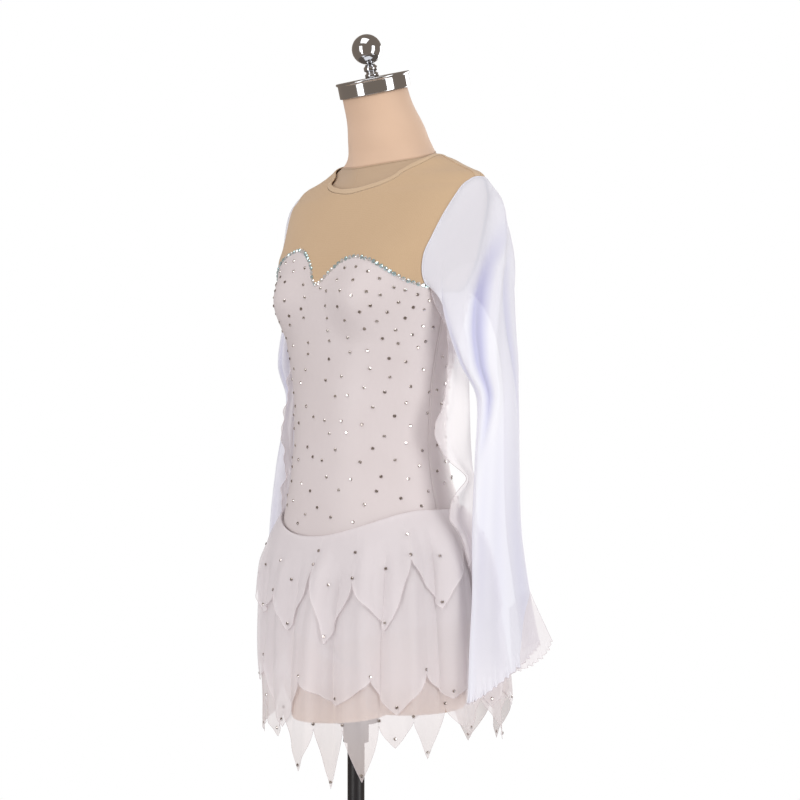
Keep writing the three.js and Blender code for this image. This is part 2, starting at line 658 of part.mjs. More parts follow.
function makeBrief() {
  const seam = (turn) => waistSeam(turn) - SEAM_DROP;
  const front = spaced(-90 + SEAM_TURN, 90 - SEAM_TURN, BACK_STEP);
  const back = spaced(90 + SEAM_TURN, 270 - SEAM_TURN, BACK_STEP);
  const rows = spaced(0, 1, 1 / 5);
  bodyPanel('brief_front', front, legEdge, seam, rows, WHITE_LYCRA);
  bodyPanel('brief_back', back, legEdge, seam, rows, WHITE_LYCRA);
  // The gusset runs down the front, under the seat and up the back, between the legs.
  const under = BODY[0].z;
  const bend = 0.3;
  const path = (x, along) => {
    const end = Math.min(along, 1 - along);
    const turn = along < 0.5 ? 0 : 180;
    const z = mix(LEG_EDGE.middle - GAP, under, clamp01(end / bend));
    const point = bodyPoint(turn, z);
    if (end > bend) point.y = mix(BODY[0].back, -BODY[0].front, (1 - along - bend) / (1 - 2 * bend));
    return point.setX(x);
  };
  const skin = (x, along, distance) => movedOut(path, x, along, 0.5, 0.004, -distance);
  const strips = [0, 0.08, 0.16, 0.23, 0.3, 0.5, 0.7, 0.77, 0.84, 0.92, 1];
  const across = [-GUSSET_HALF, 0, GUSSET_HALF];
  addPiece('brief_gusset', wall(skin, across, strips, LYCRA_IN, LYCRA_OUT), WHITE_LYCRA);
}

/** A patch of turn and height between a lower line, an upper line and two side lines. */
function patch(lower, upper, left, right) {
  return (u, v) => {
    const blend = (k) =>
      mix(lower(u)[k], upper(u)[k], v) +
      mix(left(v)[k], right(v)[k], u) -
      mix(mix(lower(0)[k], lower(1)[k], u), mix(upper(0)[k], upper(1)[k], u), v);
    return [blend(0), blend(1)];
  };
}

/** Turns of the neckline's columns, from the middle of the front or back to the neck point. */
const neckTurns = (middle, side) => spaced(middle, side, 18);

function makeYoke({ frontMeet, backMeet, frontTurn, backTurn, across, rest }) {
  const lift = GAP * 1.3;
  const edge = (turn) => belowNeckline(turn, BINDING_WIDTH / 2 + GAP * 1.3);
  const front = { middle: 0, meet: frontMeet, side: 90 - SEAM_TURN * 3, end: frontTurn };
  const back = { middle: 180, meet: backMeet, side: 90 + SEAM_TURN * 3, end: backTurn };
  const panels = [
    { name: 'yoke_front', line: sweetheart, turns: across, ...front },
    { name: 'yoke_back', line: backLine, turns: rest, ...back },
  ];
  for (const { name, line, turns, middle, meet, side, end } of panels) {
    const us = turns.map((turn) => (turn - middle) / (end - middle)).sort((a, b) => a - b);
    const neck = neckTurns(middle, side);
    /** Along the neckline to the neck point, then down the shoulder seam. */
    const upper = (u) => {
      const column = us.indexOf(u);
      if (column < neck.length) return [neck[column], edge(neck[column])];
      const share = (column - neck.length + 1) / (us.length - neck.length);
      return [side, mix(edge(side), ARMHOLE.z + ARMHOLE.half, share)];
    };
    const lower = (sign) => (u) => {
      const turn = mix(middle, end, u);
      return [turn, line(sign < 0 && u < 1 ? -turn : turn) + lift];
    };
    const right = (v) => {
      const [turn, z] = armhole(mix(meet, 180, v));
      return [v === 1 ? side : turn, z + lift * (1 - v)];
    };
    const left = (v) => [middle, mix(lower(1)(0)[1], upper(0)[1], v)];
    const half = (sign) => patch(lower(sign), upper, left, right);
    const skin = (u, v, distance) => {
      const [turn, z] = half(Math.sign(u) || 1)(Math.abs(u), v);
      const point = onBody(turn, z, distance);
      if (u < 0) point.x = -point.x;
      return point;
    };
    const columns = [...us.slice(1).map((u) => -u).reverse(), ...us];
    const rows = [0, 0.18, 0.36, 0.52, 0.66, 0.78, 0.87, 0.94, 1];
    addPiece(name, wall(skin, columns, rows, LYCRA_IN, LYCRA_OUT), SKIN_MESH);
  }
}

function makeBinding() {
  const skin = (turn, share, distance) =>
    onBody(turn, belowNeckline(turn, mix(0.5, -0.5, share) * BINDING_WIDTH), distance);
  const front = neckTurns(0, 90 - SEAM_TURN * 3);
  const back = neckTurns(180, 90 + SEAM_TURN * 3).reverse().slice(0, -1);
  const left = [...front, ...back];
  const opening = 0.2; // half of the gap where the strip's ends meet at the back, in degrees
  const rightSide = left.slice(1).map((turn) => -turn).reverse();
  const turns = [-180 + opening, ...rightSide, ...left, 180 - opening];
  const geometry = wall(skin, turns, [0, 0.5, 1], EASE, EASE + LYCRA * 1.6);
  addPiece('neck_binding', geometry, SKIN_MESH);
}

// ---- Skirt ----

/** Height of a leafy hem at a turn, and the turns at which it has a tip or a notch. */
function leafHem(leaves) {
  const marks = [];
  for (const base of [-360, 0, 360]) {
    for (const { tip, tipZ, notch, notchZ } of leaves) {
      marks.push({ turn: base + tip, z: tipZ, tip: true });
      marks.push({ turn: base + notch, z: notchZ, tip: false });
    }
  }
  const height = (turn) => {
    let i = 0;
    while (marks[i + 1].turn < turn) i += 1;
    const [a, b] = [marks[i], marks[i + 1]];
    const [tip, notch] = a.tip ? [a, b] : [b, a];
    const away = Math.abs((turn - tip.turn) / (notch.turn - tip.turn));
    return mix(tip.z, notch.z, 1 - (1 - clamp01(away)) ** 0.72);
  };
  return { marks, height };
}

/** Turns of the columns of one half of a layer: its tips, its notches and a step between. */
function leafTurns(marks, from, to) {
  const turns = [from];
  for (let i = 0; i + 1 < marks.length; i += 1) {
    const [a, b] = [marks[i].turn, marks[i + 1].turn];
    for (const share of [0, 0.5]) {
      const turn = mix(a, b, share);
      if (turn > from + 1 && turn < to - 1) turns.push(turn);
    }
  }
  turns.push(to);
  return turns;
}

/** The skirt's surface: it leaves the body below the seam, flares and falls in flutes. */
function skirtPoint(turn, z, layer) {
  const drop = Math.max(0, waistSeam(turn) - z);
  const body = onBody(turn, z, 0);
  const free = sectionPoint(rowAt(SKIRT, 'z', z), turn);
  const point = body.lerp(free, Math.sin((clamp01(drop / SKIRT_PUFF) * Math.PI) / 2));
  const full = clamp01(drop / FLUTES.full);
  const wave =
    0.65 * Math.sin(FLUTES.count * turn * RAD + 0.6) +
    0.35 * Math.sin(FLUTES.second * turn * RAD + 2.1);
  const out = new THREE.Vector3(Math.sin(turn * RAD), -Math.cos(turn * RAD), 0);
  const spread = LAYER_SPREAD * layer * Math.sqrt(full);
  return point.addScaledVector(out, FLUTES.rise * full * wave + spread);
}

function makeSkirt() {
  const layers = [
    { name: 'skirt_lower', leaves: LEAVES_LOWER, layer: 0 },
    { name: 'skirt_middle', leaves: LEAVES_MIDDLE, layer: 1 },
    { name: 'skirt_upper', leaves: LEAVES_UPPER, layer: 2 },
  ];
  const halves = [
    { half: 'front', from: -90 + SEAM_TURN, to: 90 - SEAM_TURN },
    { half: 'back', from: 90 + SEAM_TURN, to: 270 - SEAM_TURN },
  ];
  for (const { name, leaves, layer } of layers) {
    const { marks, height } = leafHem(leaves);
    const inner = LYCRA_OUT + LAYER_GAP + layer * (CHIFFON + LAYER_GAP);
    const surface = (turn, z) => skirtPoint(turn, z, layer);
    const rows = [...spaced(0, 1, 1 / 3).slice(0, -1), ...GATHER_ROWS.map((row) => 1 + row)];
    const skin = (turn, row, distance) => {
      const top = waistSeam(turn) - SEAM_DROP;
      const drop = row >= 1 ? row - 1 : mix(top - height(turn), GATHER_ROWS[0], row);
      return movedOut(surface, turn, top - drop, 0.4, 0.6, distance);
    };
    for (const { half, from, to } of halves) {
      const turns = leafTurns(marks, from, to);
      const geometry = wall(skin, turns, rows, inner, inner + CHIFFON);
      addPiece(`${name}_${half}`, geometry, WHITE_CHIFFON);
    }
  }
}

// ---- Sleeves ----

/** How far a side's sleeve hangs forward at a height. */
function swing(side, z) {
  const { reach, from, over, back } = RIGHT_SWING;
  return side < 0 ? reach * smooth((from - z) / over) - back : 0;
}

function sleevePoint(side, along, down) {
  const around = mix(-SLEEVE_WRAP, SLEEVE_WRAP, along) * RAD;
  const edge = Math.abs(2 * along - 1);
  const [turn, seamZ] = armhole(mix(SLEEVE_OPEN, 360 - SLEEVE_OPEN, along), ARM_SEAM);
  const seam = onBody(turn, seamZ, ARM_OUT);
  const hang = mix(SLEEVE_CAP.top, SLEEVE_CAP.edge, edge ** 2);
  const hem = mix(SLEEVE_HEM.front, SLEEVE_HEM.back, 0.5 + 0.5 * Math.sin(around));
  const onOval = (z) => {
    const row = rowAt(SLEEVE, 'z', z);
    let fold = 0;
    for (const { along: at, z: middle, half, width, depth } of SLEEVE_FOLDS) {
      const across = (along - at) / width;
      const height = (z - middle) / half;
      fold += depth * Math.exp(-across * across) * smooth(1 - Math.abs(height));
    }
    const x = row.out + row.skew * Math.sin(around) + (row.deep - fold) * Math.cos(around);
    const y = row.mid + (row.wide - fold) * Math.sin(around) - swing(side, z);
    return new THREE.Vector3(x, y, z);
  };
  let point;
  if (down < SLEEVE_CAP.share) {
    const share = down / SLEEVE_CAP.share;
    const end = onOval(hang);
    const crown = smooth(1 - edge ** 1.5);
    const bulge = new THREE.Vector3(end.x + SLEEVE_CAP.out * crown, end.y, seam.z);
    bulge.y = mix(mix(seam.y, end.y, 0.45), end.y, crown);
    bulge.z = mix(mix(seam.z, hang, 0.2), seam.z + SLEEVE_CAP.rise, crown);
    point = seam.multiplyScalar((1 - share) ** 2);
    point.addScaledVector(bulge, 2 * share * (1 - share)).addScaledVector(end, share * share);
  } else {
    point = onOval(mix(hang, hem, (down - SLEEVE_CAP.share) / (1 - SLEEVE_CAP.share)));
  }
  point.x *= side;
  return point;
}

/** A chiffon piece on both sides of a surface whose parameters run from 0 to 1. */
function addChiffon(name, surface, us, vs, reach) {
  const [low, high] = [(value) => clamp01(value - reach), (value) => clamp01(value + reach)];
  const skin = (u, v, distance) => {
    const along = surface(high(u), v).sub(surface(low(u), v));
    const down = surface(u, high(v)).sub(surface(u, low(v)));
    return surface(u, v).addScaledVector(along.cross(down).normalize(), distance);
  };
  addPiece(name, wall(skin, us, vs, -CHIFFON / 2, CHIFFON / 2), WHITE_CHIFFON);
}

function makeSleeve(name, side) {
  const surface = (along, down) => sleevePoint(side, along, down);
  const downs = [0, 0.08, 0.16, 0.26, 0.36, 0.48, 0.6, 0.72, 0.84, 0.93, 1];
  addChiffon(name, surface, spaced(0, 1, 1 / 16), downs, 0.05);
}

function flouncePoint(side, along, down) {
  const angle = mix(FLOUNCE_TOP.from, FLOUNCE_TOP.to, along);
  const [turn, seamZ] = armhole(angle, ARM_SEAM);
  const seam = onBody(turn, seamZ, ARM_OUT);
  const topRow = FLOUNCE.at(-1);
  const z = mix(seamZ, FLOUNCE[0].z + 6 * Math.sin(along * 9), down);
  const row = rowAt(FLOUNCE, 'z', Math.min(z, topRow.z));
  const hang = new THREE.Vector3(
    mix(row.frontX, row.backX, along),
    mix(row.frontY, row.backY, along) - swing(side, z),
    z,
  );
  const wave = Math.sin(along * FLOUNCE_WAVE.count * 2 * Math.PI);
  hang.x += FLOUNCE_WAVE.rise * wave * smooth(down * 1.5);
  const point = seam.lerp(hang, smooth(down / 0.16));
  point.z = z;
  point.x *= side;
  return point;
}

function makeFlounce(name, side) {
  const surface = (along, down) => flouncePoint(side, along, down);
  addChiffon(name, surface, spaced(0, 1, 1 / 7), spaced(0, 1, 1 / 16), 0.05);
}

makeForm();
makeNeckCap();
makeStand();
makeYoke(makeBodice());
makeBinding();
makeBrief();
makeSkirt();
for (const [word, side] of [['left', 1], ['right', -1]]) {
  makeSleeve(`sleeve_${word}`, side);
  makeFlounce(`sleeve_flounce_${word}`, side);
}

export default dress;
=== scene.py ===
"""A rhythmic gymnastics dress on a limbless dress form with its stand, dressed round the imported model.

Tables are in millimetres and meshes in metres. +Z is up and the dress faces -Y.
Turn 0 is the front middle, 90 the wearer's left side (+X), 180 the back middle.
"""

import bpy
import numpy as np
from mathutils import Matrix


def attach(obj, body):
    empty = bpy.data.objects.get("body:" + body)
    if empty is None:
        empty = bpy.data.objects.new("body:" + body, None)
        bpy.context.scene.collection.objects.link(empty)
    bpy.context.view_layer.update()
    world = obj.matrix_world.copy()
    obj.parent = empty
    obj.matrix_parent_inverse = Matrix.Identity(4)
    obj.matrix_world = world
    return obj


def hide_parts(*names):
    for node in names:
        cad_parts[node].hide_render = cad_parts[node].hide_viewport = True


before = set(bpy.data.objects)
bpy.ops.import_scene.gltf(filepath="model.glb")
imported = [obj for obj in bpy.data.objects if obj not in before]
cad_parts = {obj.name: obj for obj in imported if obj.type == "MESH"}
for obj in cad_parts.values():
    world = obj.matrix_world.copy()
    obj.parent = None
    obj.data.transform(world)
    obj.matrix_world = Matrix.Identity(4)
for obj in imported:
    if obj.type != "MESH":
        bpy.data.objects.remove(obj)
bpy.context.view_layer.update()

# ---- Studio ----
# A level camera at chest height in front of the wearer's left, a pale round floor under the stand,
# and a tall soft box on each side of the camera, with a low strip, a soft box above and one behind.

AZIMUTH = 48  # degrees from the front towards the wearer's left
DISTANCE, EYE, ASIDE = 2.8, 1.045, 0.039
FLOOR_RADIUS = 1.15
LIGHTS = {  # place, target height, width, height and watts
    "soft_box_left": ((0.1, -2.9, 1.3), 1.1, 1.2, 2.2, 18),
    "soft_strip_left": ((0.21, -2.4, 0.45), 1.1, 0.6, 1.7, 8),
    "soft_box_right": ((2.75, 0.5, 1.1), 1.1, 1.1, 2.8, 35),
    "soft_box_top": ((0.3, -0.9, 3.1), 1.2, 1.5, 1.5, 14),
    "soft_box_back": ((-0.6, 2.6, 1.5), 1.0, 1.6, 1.6, 26),
}

azimuth = np.radians(AZIMUTH)
towards = np.array([np.sin(azimuth), -np.cos(azimuth), 0])
rightward = np.array([np.cos(azimuth), np.sin(azimuth), 0])
camera = bpy.data.objects.new("camera", bpy.data.cameras.new("camera"))
camera.data.lens, camera.data.sensor_width = 86.3, 36
camera.location = towards * DISTANCE + rightward * ASIDE + np.array([0, 0, EYE])
camera.rotation_euler = (np.pi / 2, 0, azimuth)
bpy.context.scene.collection.objects.link(camera)
bpy.context.scene.camera = camera

for name, (place, height, width, tall, watts) in LIGHTS.items():
    light = bpy.data.lights.new(name, "AREA")
    light.shape, light.size, light.size_y, light.energy = "RECTANGLE", width, tall, watts
    lamp = bpy.data.objects.new(name, light)
    lamp.location = place
    aim = np.array([0, 0, height]) - np.array(place)
    flat = np.hypot(aim[0], aim[1])
    lamp.rotation_euler = (np.arctan2(flat, -aim[2]), 0, np.arctan2(-aim[0], aim[1]))
    bpy.context.scene.collection.objects.link(lamp)


def linear(colour):
    """Linear red, green and blue of an sRGB hex colour."""
    c = np.array([int(colour[i : i + 2], 16) for i in (1, 3, 5)]) / 255
    return (*np.where(c <= 0.04045, c / 12.92, ((c + 0.055) / 1.055) ** 2.4), 1)


def node(tree, kind, settings=(), **inputs):
    """A new node with settings, and inputs that are values or another node's output socket."""
    made = tree.nodes.new(kind)
    for key, value in dict(settings).items():
        setattr(made, key, value)
    for key, value in inputs.items():
        socket = made.inputs[int(key[1:]) if key[0] == "i" and key[1:].isdigit() else key.replace("_", " ")]
        if isinstance(value, bpy.types.NodeSocket):
            tree.links.new(value, socket)
        else:
            socket.default_value = value
    return made


def new_material(name):
    """A material with a Principled shader on its surface, and that shader."""
    material = bpy.data.materials.new(name)
    material.use_nodes = True
    return material, material.node_tree, material.node_tree.nodes["Principled BSDF"]


room = bpy.data.worlds.new("white_room")
room.use_nodes = True
room.node_tree.nodes.clear()
rays = node(room.node_tree, "ShaderNodeLightPath")
fill = node(room.node_tree, "ShaderNodeBackground", Color=linear("#f8f4fa"), Strength=0.45)
dim = node(room.node_tree, "ShaderNodeBackground", Color=linear("#8f8276"), Strength=1.0)
white = node(room.node_tree, "ShaderNodeBackground", Color=(1, 1, 1, 1), Strength=1)
glossy = node(room.node_tree, "ShaderNodeMixShader", i0=rays.outputs["Is Glossy Ray"],
              i1=fill.outputs[0], i2=dim.outputs[0])
seen = node(room.node_tree, "ShaderNodeMixShader", i0=rays.outputs["Is Camera Ray"],
            i1=glossy.outputs[0], i2=white.outputs[0])
node(room.node_tree, "ShaderNodeOutputWorld", Surface=seen.outputs[0])
bpy.context.scene.world = room
bpy.context.scene.view_settings.view_transform = "Standard"

floor_paint, tree, shader = new_material("pale_floor_paint")
shader.inputs["Base Color"].default_value = linear("#ececee")
shader.inputs["Roughness"].default_value = 0.8
bpy.ops.mesh.primitive_circle_add(vertices=96, radius=FLOOR_RADIUS, fill_type="NGON")
floor = bpy.context.object
floor.name = "floor"
floor.data.materials.append(floor_paint)

# ---- Dress form ----
# A limbless torso of moulded fibreglass with a sewn cover of smooth skin-coloured jersey.
# The cover is joined round the neck and down the middle of the front.

BODY = np.array([  # z, half width, front and back reach, widest line in Y, squareness, shoulder ridge
    (664, 96, 42, 62, 8, 2, 1),
    (668, 122, 62, 84, 8, 2, 1),
    (678, 142, 80, 102, 8, 2.1, 1),
    (695, 153, 94, 117, 7, 2.2, 1),
    (730, 159, 108, 130, 6, 2.2, 1),
    (790, 160, 119, 135, 5, 2.2, 1),
    (840, 151, 119, 129, 3, 2.1, 1),
    (892, 135, 115, 112, 0, 2.1, 1),
    (940, 123, 111, 96, 0, 2.1, 1),
    (991, 118, 108, 88, 0, 2.1, 1),
    (1060, 123, 106, 90, 0, 2.1, 1),
    (1120, 134, 106, 96, 1, 2.3, 1),
    (1191, 152, 108, 102, 3, 2.6, 1),
    (1245, 169, 96, 106, 10, 2.6, 1),
    (1272, 179, 81, 107.5, 15, 2.4, 1),
    (1300, 187, 66, 108, 20, 2.3, 1),
    (1335, 194, 49, 107, 27, 2.2, 1.2),
    (1350, 194, 42, 106, 30, 2, 1.8),
    (1358, 190, 38, 105, 32, 2, 2.2),
    (1364, 182, 36, 104.5, 34, 2, 2.7),
    (1370, 166, 34, 104, 36, 2, 3.6),
    (1378, 146, 31, 103, 38, 2, 4.4),
    (1388, 123, 29.5, 102, 40, 2, 4.6),
    (1396, 99, 29, 101, 41, 2, 4.2),
    (1403, 82, 29, 100, 41, 2, 3.4),
    (1413, 69, 30, 98, 38, 2, 2),
    (1428, 62.5, 32, 92, 31, 2, 1),
    (1446, 59, 34, 84, 25, 2, 1),
    (1484, 52.5, 45.5, 60, 7, 2, 1),
    (1540, 50, 62, 38, -12, 2, 1),
])
NECK_HALF = 62
CUP_X, CUP_Z, CUP_HALF, CUP_RISE = 78, 1186, 66, 17
NECK_SLOPE, NECK_JOIN, NECK_TOP, NECK_GAP = 0.27, 1390, 1492, 0.4
FORM_INSET = 2.2
STUMPS = {"left": (84, 604), "right": (-84, 572)}  # middle in X and bottom
STUMP_WIDTH, STUMP_DEPTH, STUMP_Y = 62, 80, 8
STUMP_ROWS = [(0, 0.0), (0, 0.9), (1.5, 0.95), (5, 0.985), (14, 1), (95, 1.02), (136, 0.98)]  # rise, scale
FRONT_SEAM_FROM = 1350


def through_rows(table, at):
    """The table's columns at heights, on Hermite pieces whose slope at a row is the weighted
    harmonic mean of the two chords there, so the curve never swings past a row."""
    keys, step = table[:, 0], np.diff(table[:, 0])
    chord = np.diff(table, axis=0) / step[:, None]
    before, after = chord[:-1], chord[1:]
    weight = ((2 * step[1:] + step[:-1]) / (3 * (step[1:] + step[:-1])))[:, None]
    turning = before * after <= 0
    bottom = np.where(turning, 1, weight * after + (1 - weight) * before)
    slope = np.vstack([chord[:1], np.where(turning, 0, before * after / bottom), chord[-1:]])
    at = np.clip(at, keys[0], keys[-1])
    i = np.clip(np.searchsorted(keys, at, side="right") - 1, 0, len(step) - 1)
    s, h = ((at - keys[i]) / step[i])[..., None], step[i][..., None]
    value = (table[i] * (1 + 2 * s) * (1 - s) ** 2 + table[i + 1] * s * s * (3 - 2 * s)
             + slope[i] * h * s * (1 - s) ** 2 + slope[i + 1] * h * s * s * (s - 1))
    return np.moveaxis(value, -1, 0)


def section(columns, turn):
    """A point of a superellipse whose front and back halves have their own depth, where the
    shoulder ridge narrows what is wider than the neck."""
    z, side, front, back, mid, square, ridge = columns
    s, c = np.sin(np.radians(turn)), np.cos(np.radians(turn))
    core = np.minimum(side, NECK_HALF) * np.abs(s) ** (2 / square)
    wing = np.maximum(0, side - NECK_HALF) * np.abs(s) ** (2 * ridge / square)
    depth = np.where(c > 0, front + mid, back - mid)
    y = mid - depth * np.sign(c) * np.abs(c) ** (2 / square)
    return np.stack(np.broadcast_arrays(np.sign(s) * (core + wing), y, z), -1)


def body(turn, z):
    """The body's section at a height, with a cosine-squared cup on each side of the front."""
    turn, z = np.broadcast_arrays(np.asarray(turn, float), np.asarray(z, float))
    columns = through_rows(BODY, z)
    columns[0] = z
    point = section(columns, turn)
    away = np.hypot(np.abs(point[..., 0]) - CUP_X, z - CUP_Z) / CUP_HALF
    cup = CUP_RISE * np.cos(np.minimum(away, 1) * np.pi / 2) ** 2
    point[..., 1] -= np.where(np.cos(np.radians(turn)) > 0, cup, 0)
    return point


def normals_of(surface, u, v, du, dv):
    """Unit normals: the cross product of a surface's differences along its two parameters."""
    normal = np.cross(surface(u + du, v) - surface(u - du, v), surface(u, v + dv) - surface(u, v - dv))
    return normal / np.maximum(np.linalg.norm(normal, axis=-1, keepdims=True), 1e-9)


def body_normals(turn, z):
    """The body's unit normals, from differences of a little under 1 mm each way."""
    return normals_of(body, turn, z, 0.4, 0.6)


def on_body(turn, z, distance):
    """The body's surface moved out by a distance."""
    return body(turn, z) + body_normals(turn, z) * np.asarray(distance)[..., None]


def grid_object(name, points, material, wrap=False, caps=False, thickness=0):
    """A mesh object of a grid of points in millimetres, rows by columns, with the distances along
    the cloth as its UV map in metres. A thickness is laid inwards by Solidify."""
    rows, columns = points.shape[:2]
    number = np.arange(rows * columns).reshape(rows, columns)
    across = np.hstack([number, number[:, :1]]) if wrap else number
    faces = np.stack([across[:-1, :-1], across[:-1, 1:], across[1:, 1:], across[1:, :-1]], -1)
    faces = faces.reshape(-1, 4).tolist()
    if caps:
        faces += [number[0, ::-1].tolist(), number[-1].tolist()]
    mesh = bpy.data.meshes.new(name)
    mesh.from_pydata((points.reshape(-1, 3) / 1000).tolist(), [], faces)
    along = np.linalg.norm(np.diff(points, axis=1, prepend=points[:, :1]), axis=-1).cumsum(1)
    up = np.linalg.norm(np.diff(points, axis=0, prepend=points[:1]), axis=-1).cumsum(0)
    flat = np.stack([along - along[:, columns // 2, None], up], -1).reshape(-1, 2) / 1000
    corners = np.empty(len(mesh.loops), int)
    mesh.loops.foreach_get("vertex_index", corners)
    mesh.uv_layers.new(name="cloth").data.foreach_set("uv", flat[corners].ravel())
    mesh.polygons.foreach_set("use_smooth", np.ones(len(mesh.polygons), bool))
    mesh.materials.append(material)
    made = bpy.data.objects.new(name, mesh)
    bpy.context.scene.collection.objects.link(made)
    if thickness:
        solid = made.modifiers.new("wall", "SOLIDIFY")
        solid.thickness, solid.offset = thickness / 1000, -1
    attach(made, "root")
    return made


def neck_plane(turn, height):
    """Heights at which the body's columns meet a plane that rises towards the back."""
    z = np.full(np.shape(turn), float(height))
    for _ in range(20):
        z = height + NECK_SLOPE * body(turn, z)[..., 1]
    return z


def jersey(name, dark, light):
    """Smooth polyester jersey: soft and dull, with a slight fuzz and a knit drawn at 1 mm."""
    material, tree, shader = new_material(name)
    place = node(tree, "ShaderNodeTexCoord")
    cloud = node(tree, "ShaderNodeTexNoise", Vector=place.outputs["Object"], Scale=6.0, Detail=3.0)
    tint = node(tree, "ShaderNodeMix", {"data_type": "RGBA"}, i0=cloud.outputs["Fac"],
                i6=linear(dark), i7=linear(light))
    knit = node(tree, "ShaderNodeTexNoise", Vector=place.outputs["Object"], Scale=900.0, Detail=2.0)
    relief = node(tree, "ShaderNodeBump", Height=knit.outputs["Fac"], Distance=0.0002, Strength=0.4)
    tree.links.new(tint.outputs[2], shader.inputs["Base Color"])
    tree.links.new(relief.outputs[0], shader.inputs["Normal"])
    shader.inputs["Roughness"].default_value = 0.75
    shader.inputs["Sheen Weight"].default_value = 0.25
    shader.inputs["Sheen Roughness"].default_value = 0.5
    return material


torso_cover = jersey("khaki_jersey_cover", "#c0a484", "#c9ae90")
neck_cover = jersey("skin_jersey_cover", "#deba9c", "#e8c8ab")

around = np.linspace(0, 360, 181)[:-1]
join, above_join, top = [neck_plane(around, z) for z in (NECK_JOIN, NECK_JOIN + NECK_GAP, NECK_TOP)]
for name, low, high, rows, jersey_cover, target in [
    ("form_torso", BODY[0, 0], join, 130, torso_cover, "form_body"),
    ("form_neck_cover", above_join, top, 30, neck_cover, "form_neck"),
]:
    heights = low + (high - low) * np.linspace(0, 1, rows)[:, None]
    points = on_body(around[None, :], heights, -FORM_INSET)
    cover = grid_object(name, points, jersey_cover, wrap=True, caps=True)
    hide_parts(target)

angle = np.radians(np.linspace(0, 360, 73)[:-1])
for side, (middle, bottom) in STUMPS.items():
    rise, scale = np.array(STUMP_ROWS).T[..., None]
    points = np.stack(np.broadcast_arrays(
        middle + STUMP_WIDTH * scale * np.sin(angle), STUMP_Y - STUMP_DEPTH * scale * np.cos(angle),
        bottom + rise), -1)
    thigh = grid_object(f"form_stump_{side}", points, neck_cover, wrap=True, caps=True)


def seam_cord(name, path, normal, radius, material):
    """A round cord of eight sides along a path of points, turned by the surface's normal or normals."""
    ahead = np.gradient(path, axis=0)
    ahead /= np.linalg.norm(ahead, axis=1, keepdims=True)
    beside = np.cross(normal, ahead)
    beside /= np.linalg.norm(beside, axis=1, keepdims=True)
    out = np.cross(ahead, beside)
    angle = np.radians(np.linspace(0, 360, 9)[:-1])[None, :, None]
    ring = np.cos(angle) * beside[:, None] + np.sin(angle) * out[:, None]
    made = grid_object(name, path[:, None] + ring * radius, material, wrap=True, caps=True)
    return made


around = np.linspace(0, 360, 241)
front_z = np.linspace(FRONT_SEAM_FROM, float(neck_plane(np.zeros(1), NECK_JOIN)[0]), 20)
for name, turn, z, sunk, radius in [
    ("form_neck_seam", around, neck_plane(around, NECK_JOIN), 0.2, 0.9),
    ("form_front_seam", np.zeros(20), front_z, 0.3, 0.7),
]:
    path = on_body(turn, z, -FORM_INSET - sunk)
    seam_cord(name, path, body_normals(turn, z), radius, torso_cover)

# ---- Neck cap and finial ----
# A spun steel cap on the slanted neck, and a turned ball on a grooved stem, both chromed.
# Polished chrome shows the dark room and the soft boxes as hard bands.

CAP_PROFILE = [(0, 0), (51.3, 0), (52.2, 0.4), (52.5, 1.2), (52.5, 1.7), (52.5, 17.9), (52.5, 18.4), (53, 19),
               (54.3, 19.8), (54.8, 20.8), (54.6, 22.2), (53.6, 23), (40, 23.15), (0, 23.2)]
STEM_PROFILE = [(0, 0), (10, 0), (10, 4.6), (9.4, 5.3), (7.6, 6.2), (7.5, 7.4), (7.7, 8.6), (9.5, 9.5),
                (10, 10.2), (10, 14.5), (9.6, 15.3), (7.4, 17.2), (7, 19), (0, 19)]
BALL_RADIUS = 21.8
CAP_LIFT, STEM_LIFT, STEM_HEIGHT = 0.35, 23.7, 19
CAP_Y = 4.2
TILT = np.arctan(NECK_SLOPE)

chrome, tree, shader = new_material("polished_chrome")
place = node(tree, "ShaderNodeTexCoord")
haze = node(tree, "ShaderNodeTexNoise", Vector=place.outputs["Object"], Scale=60.0, Detail=4.0)
spread = node(tree, "ShaderNodeMapRange", Value=haze.outputs["Fac"], To_Min=0.04, To_Max=0.1)
tree.links.new(spread.outputs[0], shader.inputs["Roughness"])
shader.inputs["Base Color"].default_value = linear("#c4c6ca")
shader.inputs["Metallic"].default_value = 1


def lathe(profile, sides=96):
    """A ring of points round Z for each row of radius and height."""
    angle = np.radians(np.linspace(0, 360, sides + 1)[:-1])
    profile = np.array(profile, float)
    return np.stack(np.broadcast_arrays(
        profile[:, :1] * np.sin(angle), -profile[:, :1] * np.cos(angle), profile[:, 1:]), -1)


def on_neck(points, lift):
    """Points of a lathe set on the neck's slanted top and moved up its axis."""
    y, z = points[..., 1], points[..., 2] + lift
    return np.stack([points[..., 0], CAP_Y + y * np.cos(TILT) - z * np.sin(TILT),
                     NECK_TOP + CAP_Y * NECK_SLOPE + y * np.sin(TILT) + z * np.cos(TILT)], -1)


arc = np.linspace(0, np.pi, 49)
ball = [(BALL_RADIUS * np.sin(a), -BALL_RADIUS * np.cos(a)) for a in arc]
for name, profile, lift, target in [
    ("chrome_neck_cap", CAP_PROFILE, CAP_LIFT, "neck_cap"),
    ("chrome_stem", STEM_PROFILE, STEM_LIFT, "finial_stem"),
    ("chrome_ball", ball, STEM_LIFT + STEM_HEIGHT + BALL_RADIUS, "finial_ball"),
]:
    turned = grid_object(name, on_neck(lathe(profile), lift), chrome, wrap=True)
    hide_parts(target)

# ---- Stand ----
# A round steel foot plate, a steel tube and a flanged socket, powder coated black.
# The coat is even and slightly pebbled, so highlights are soft.

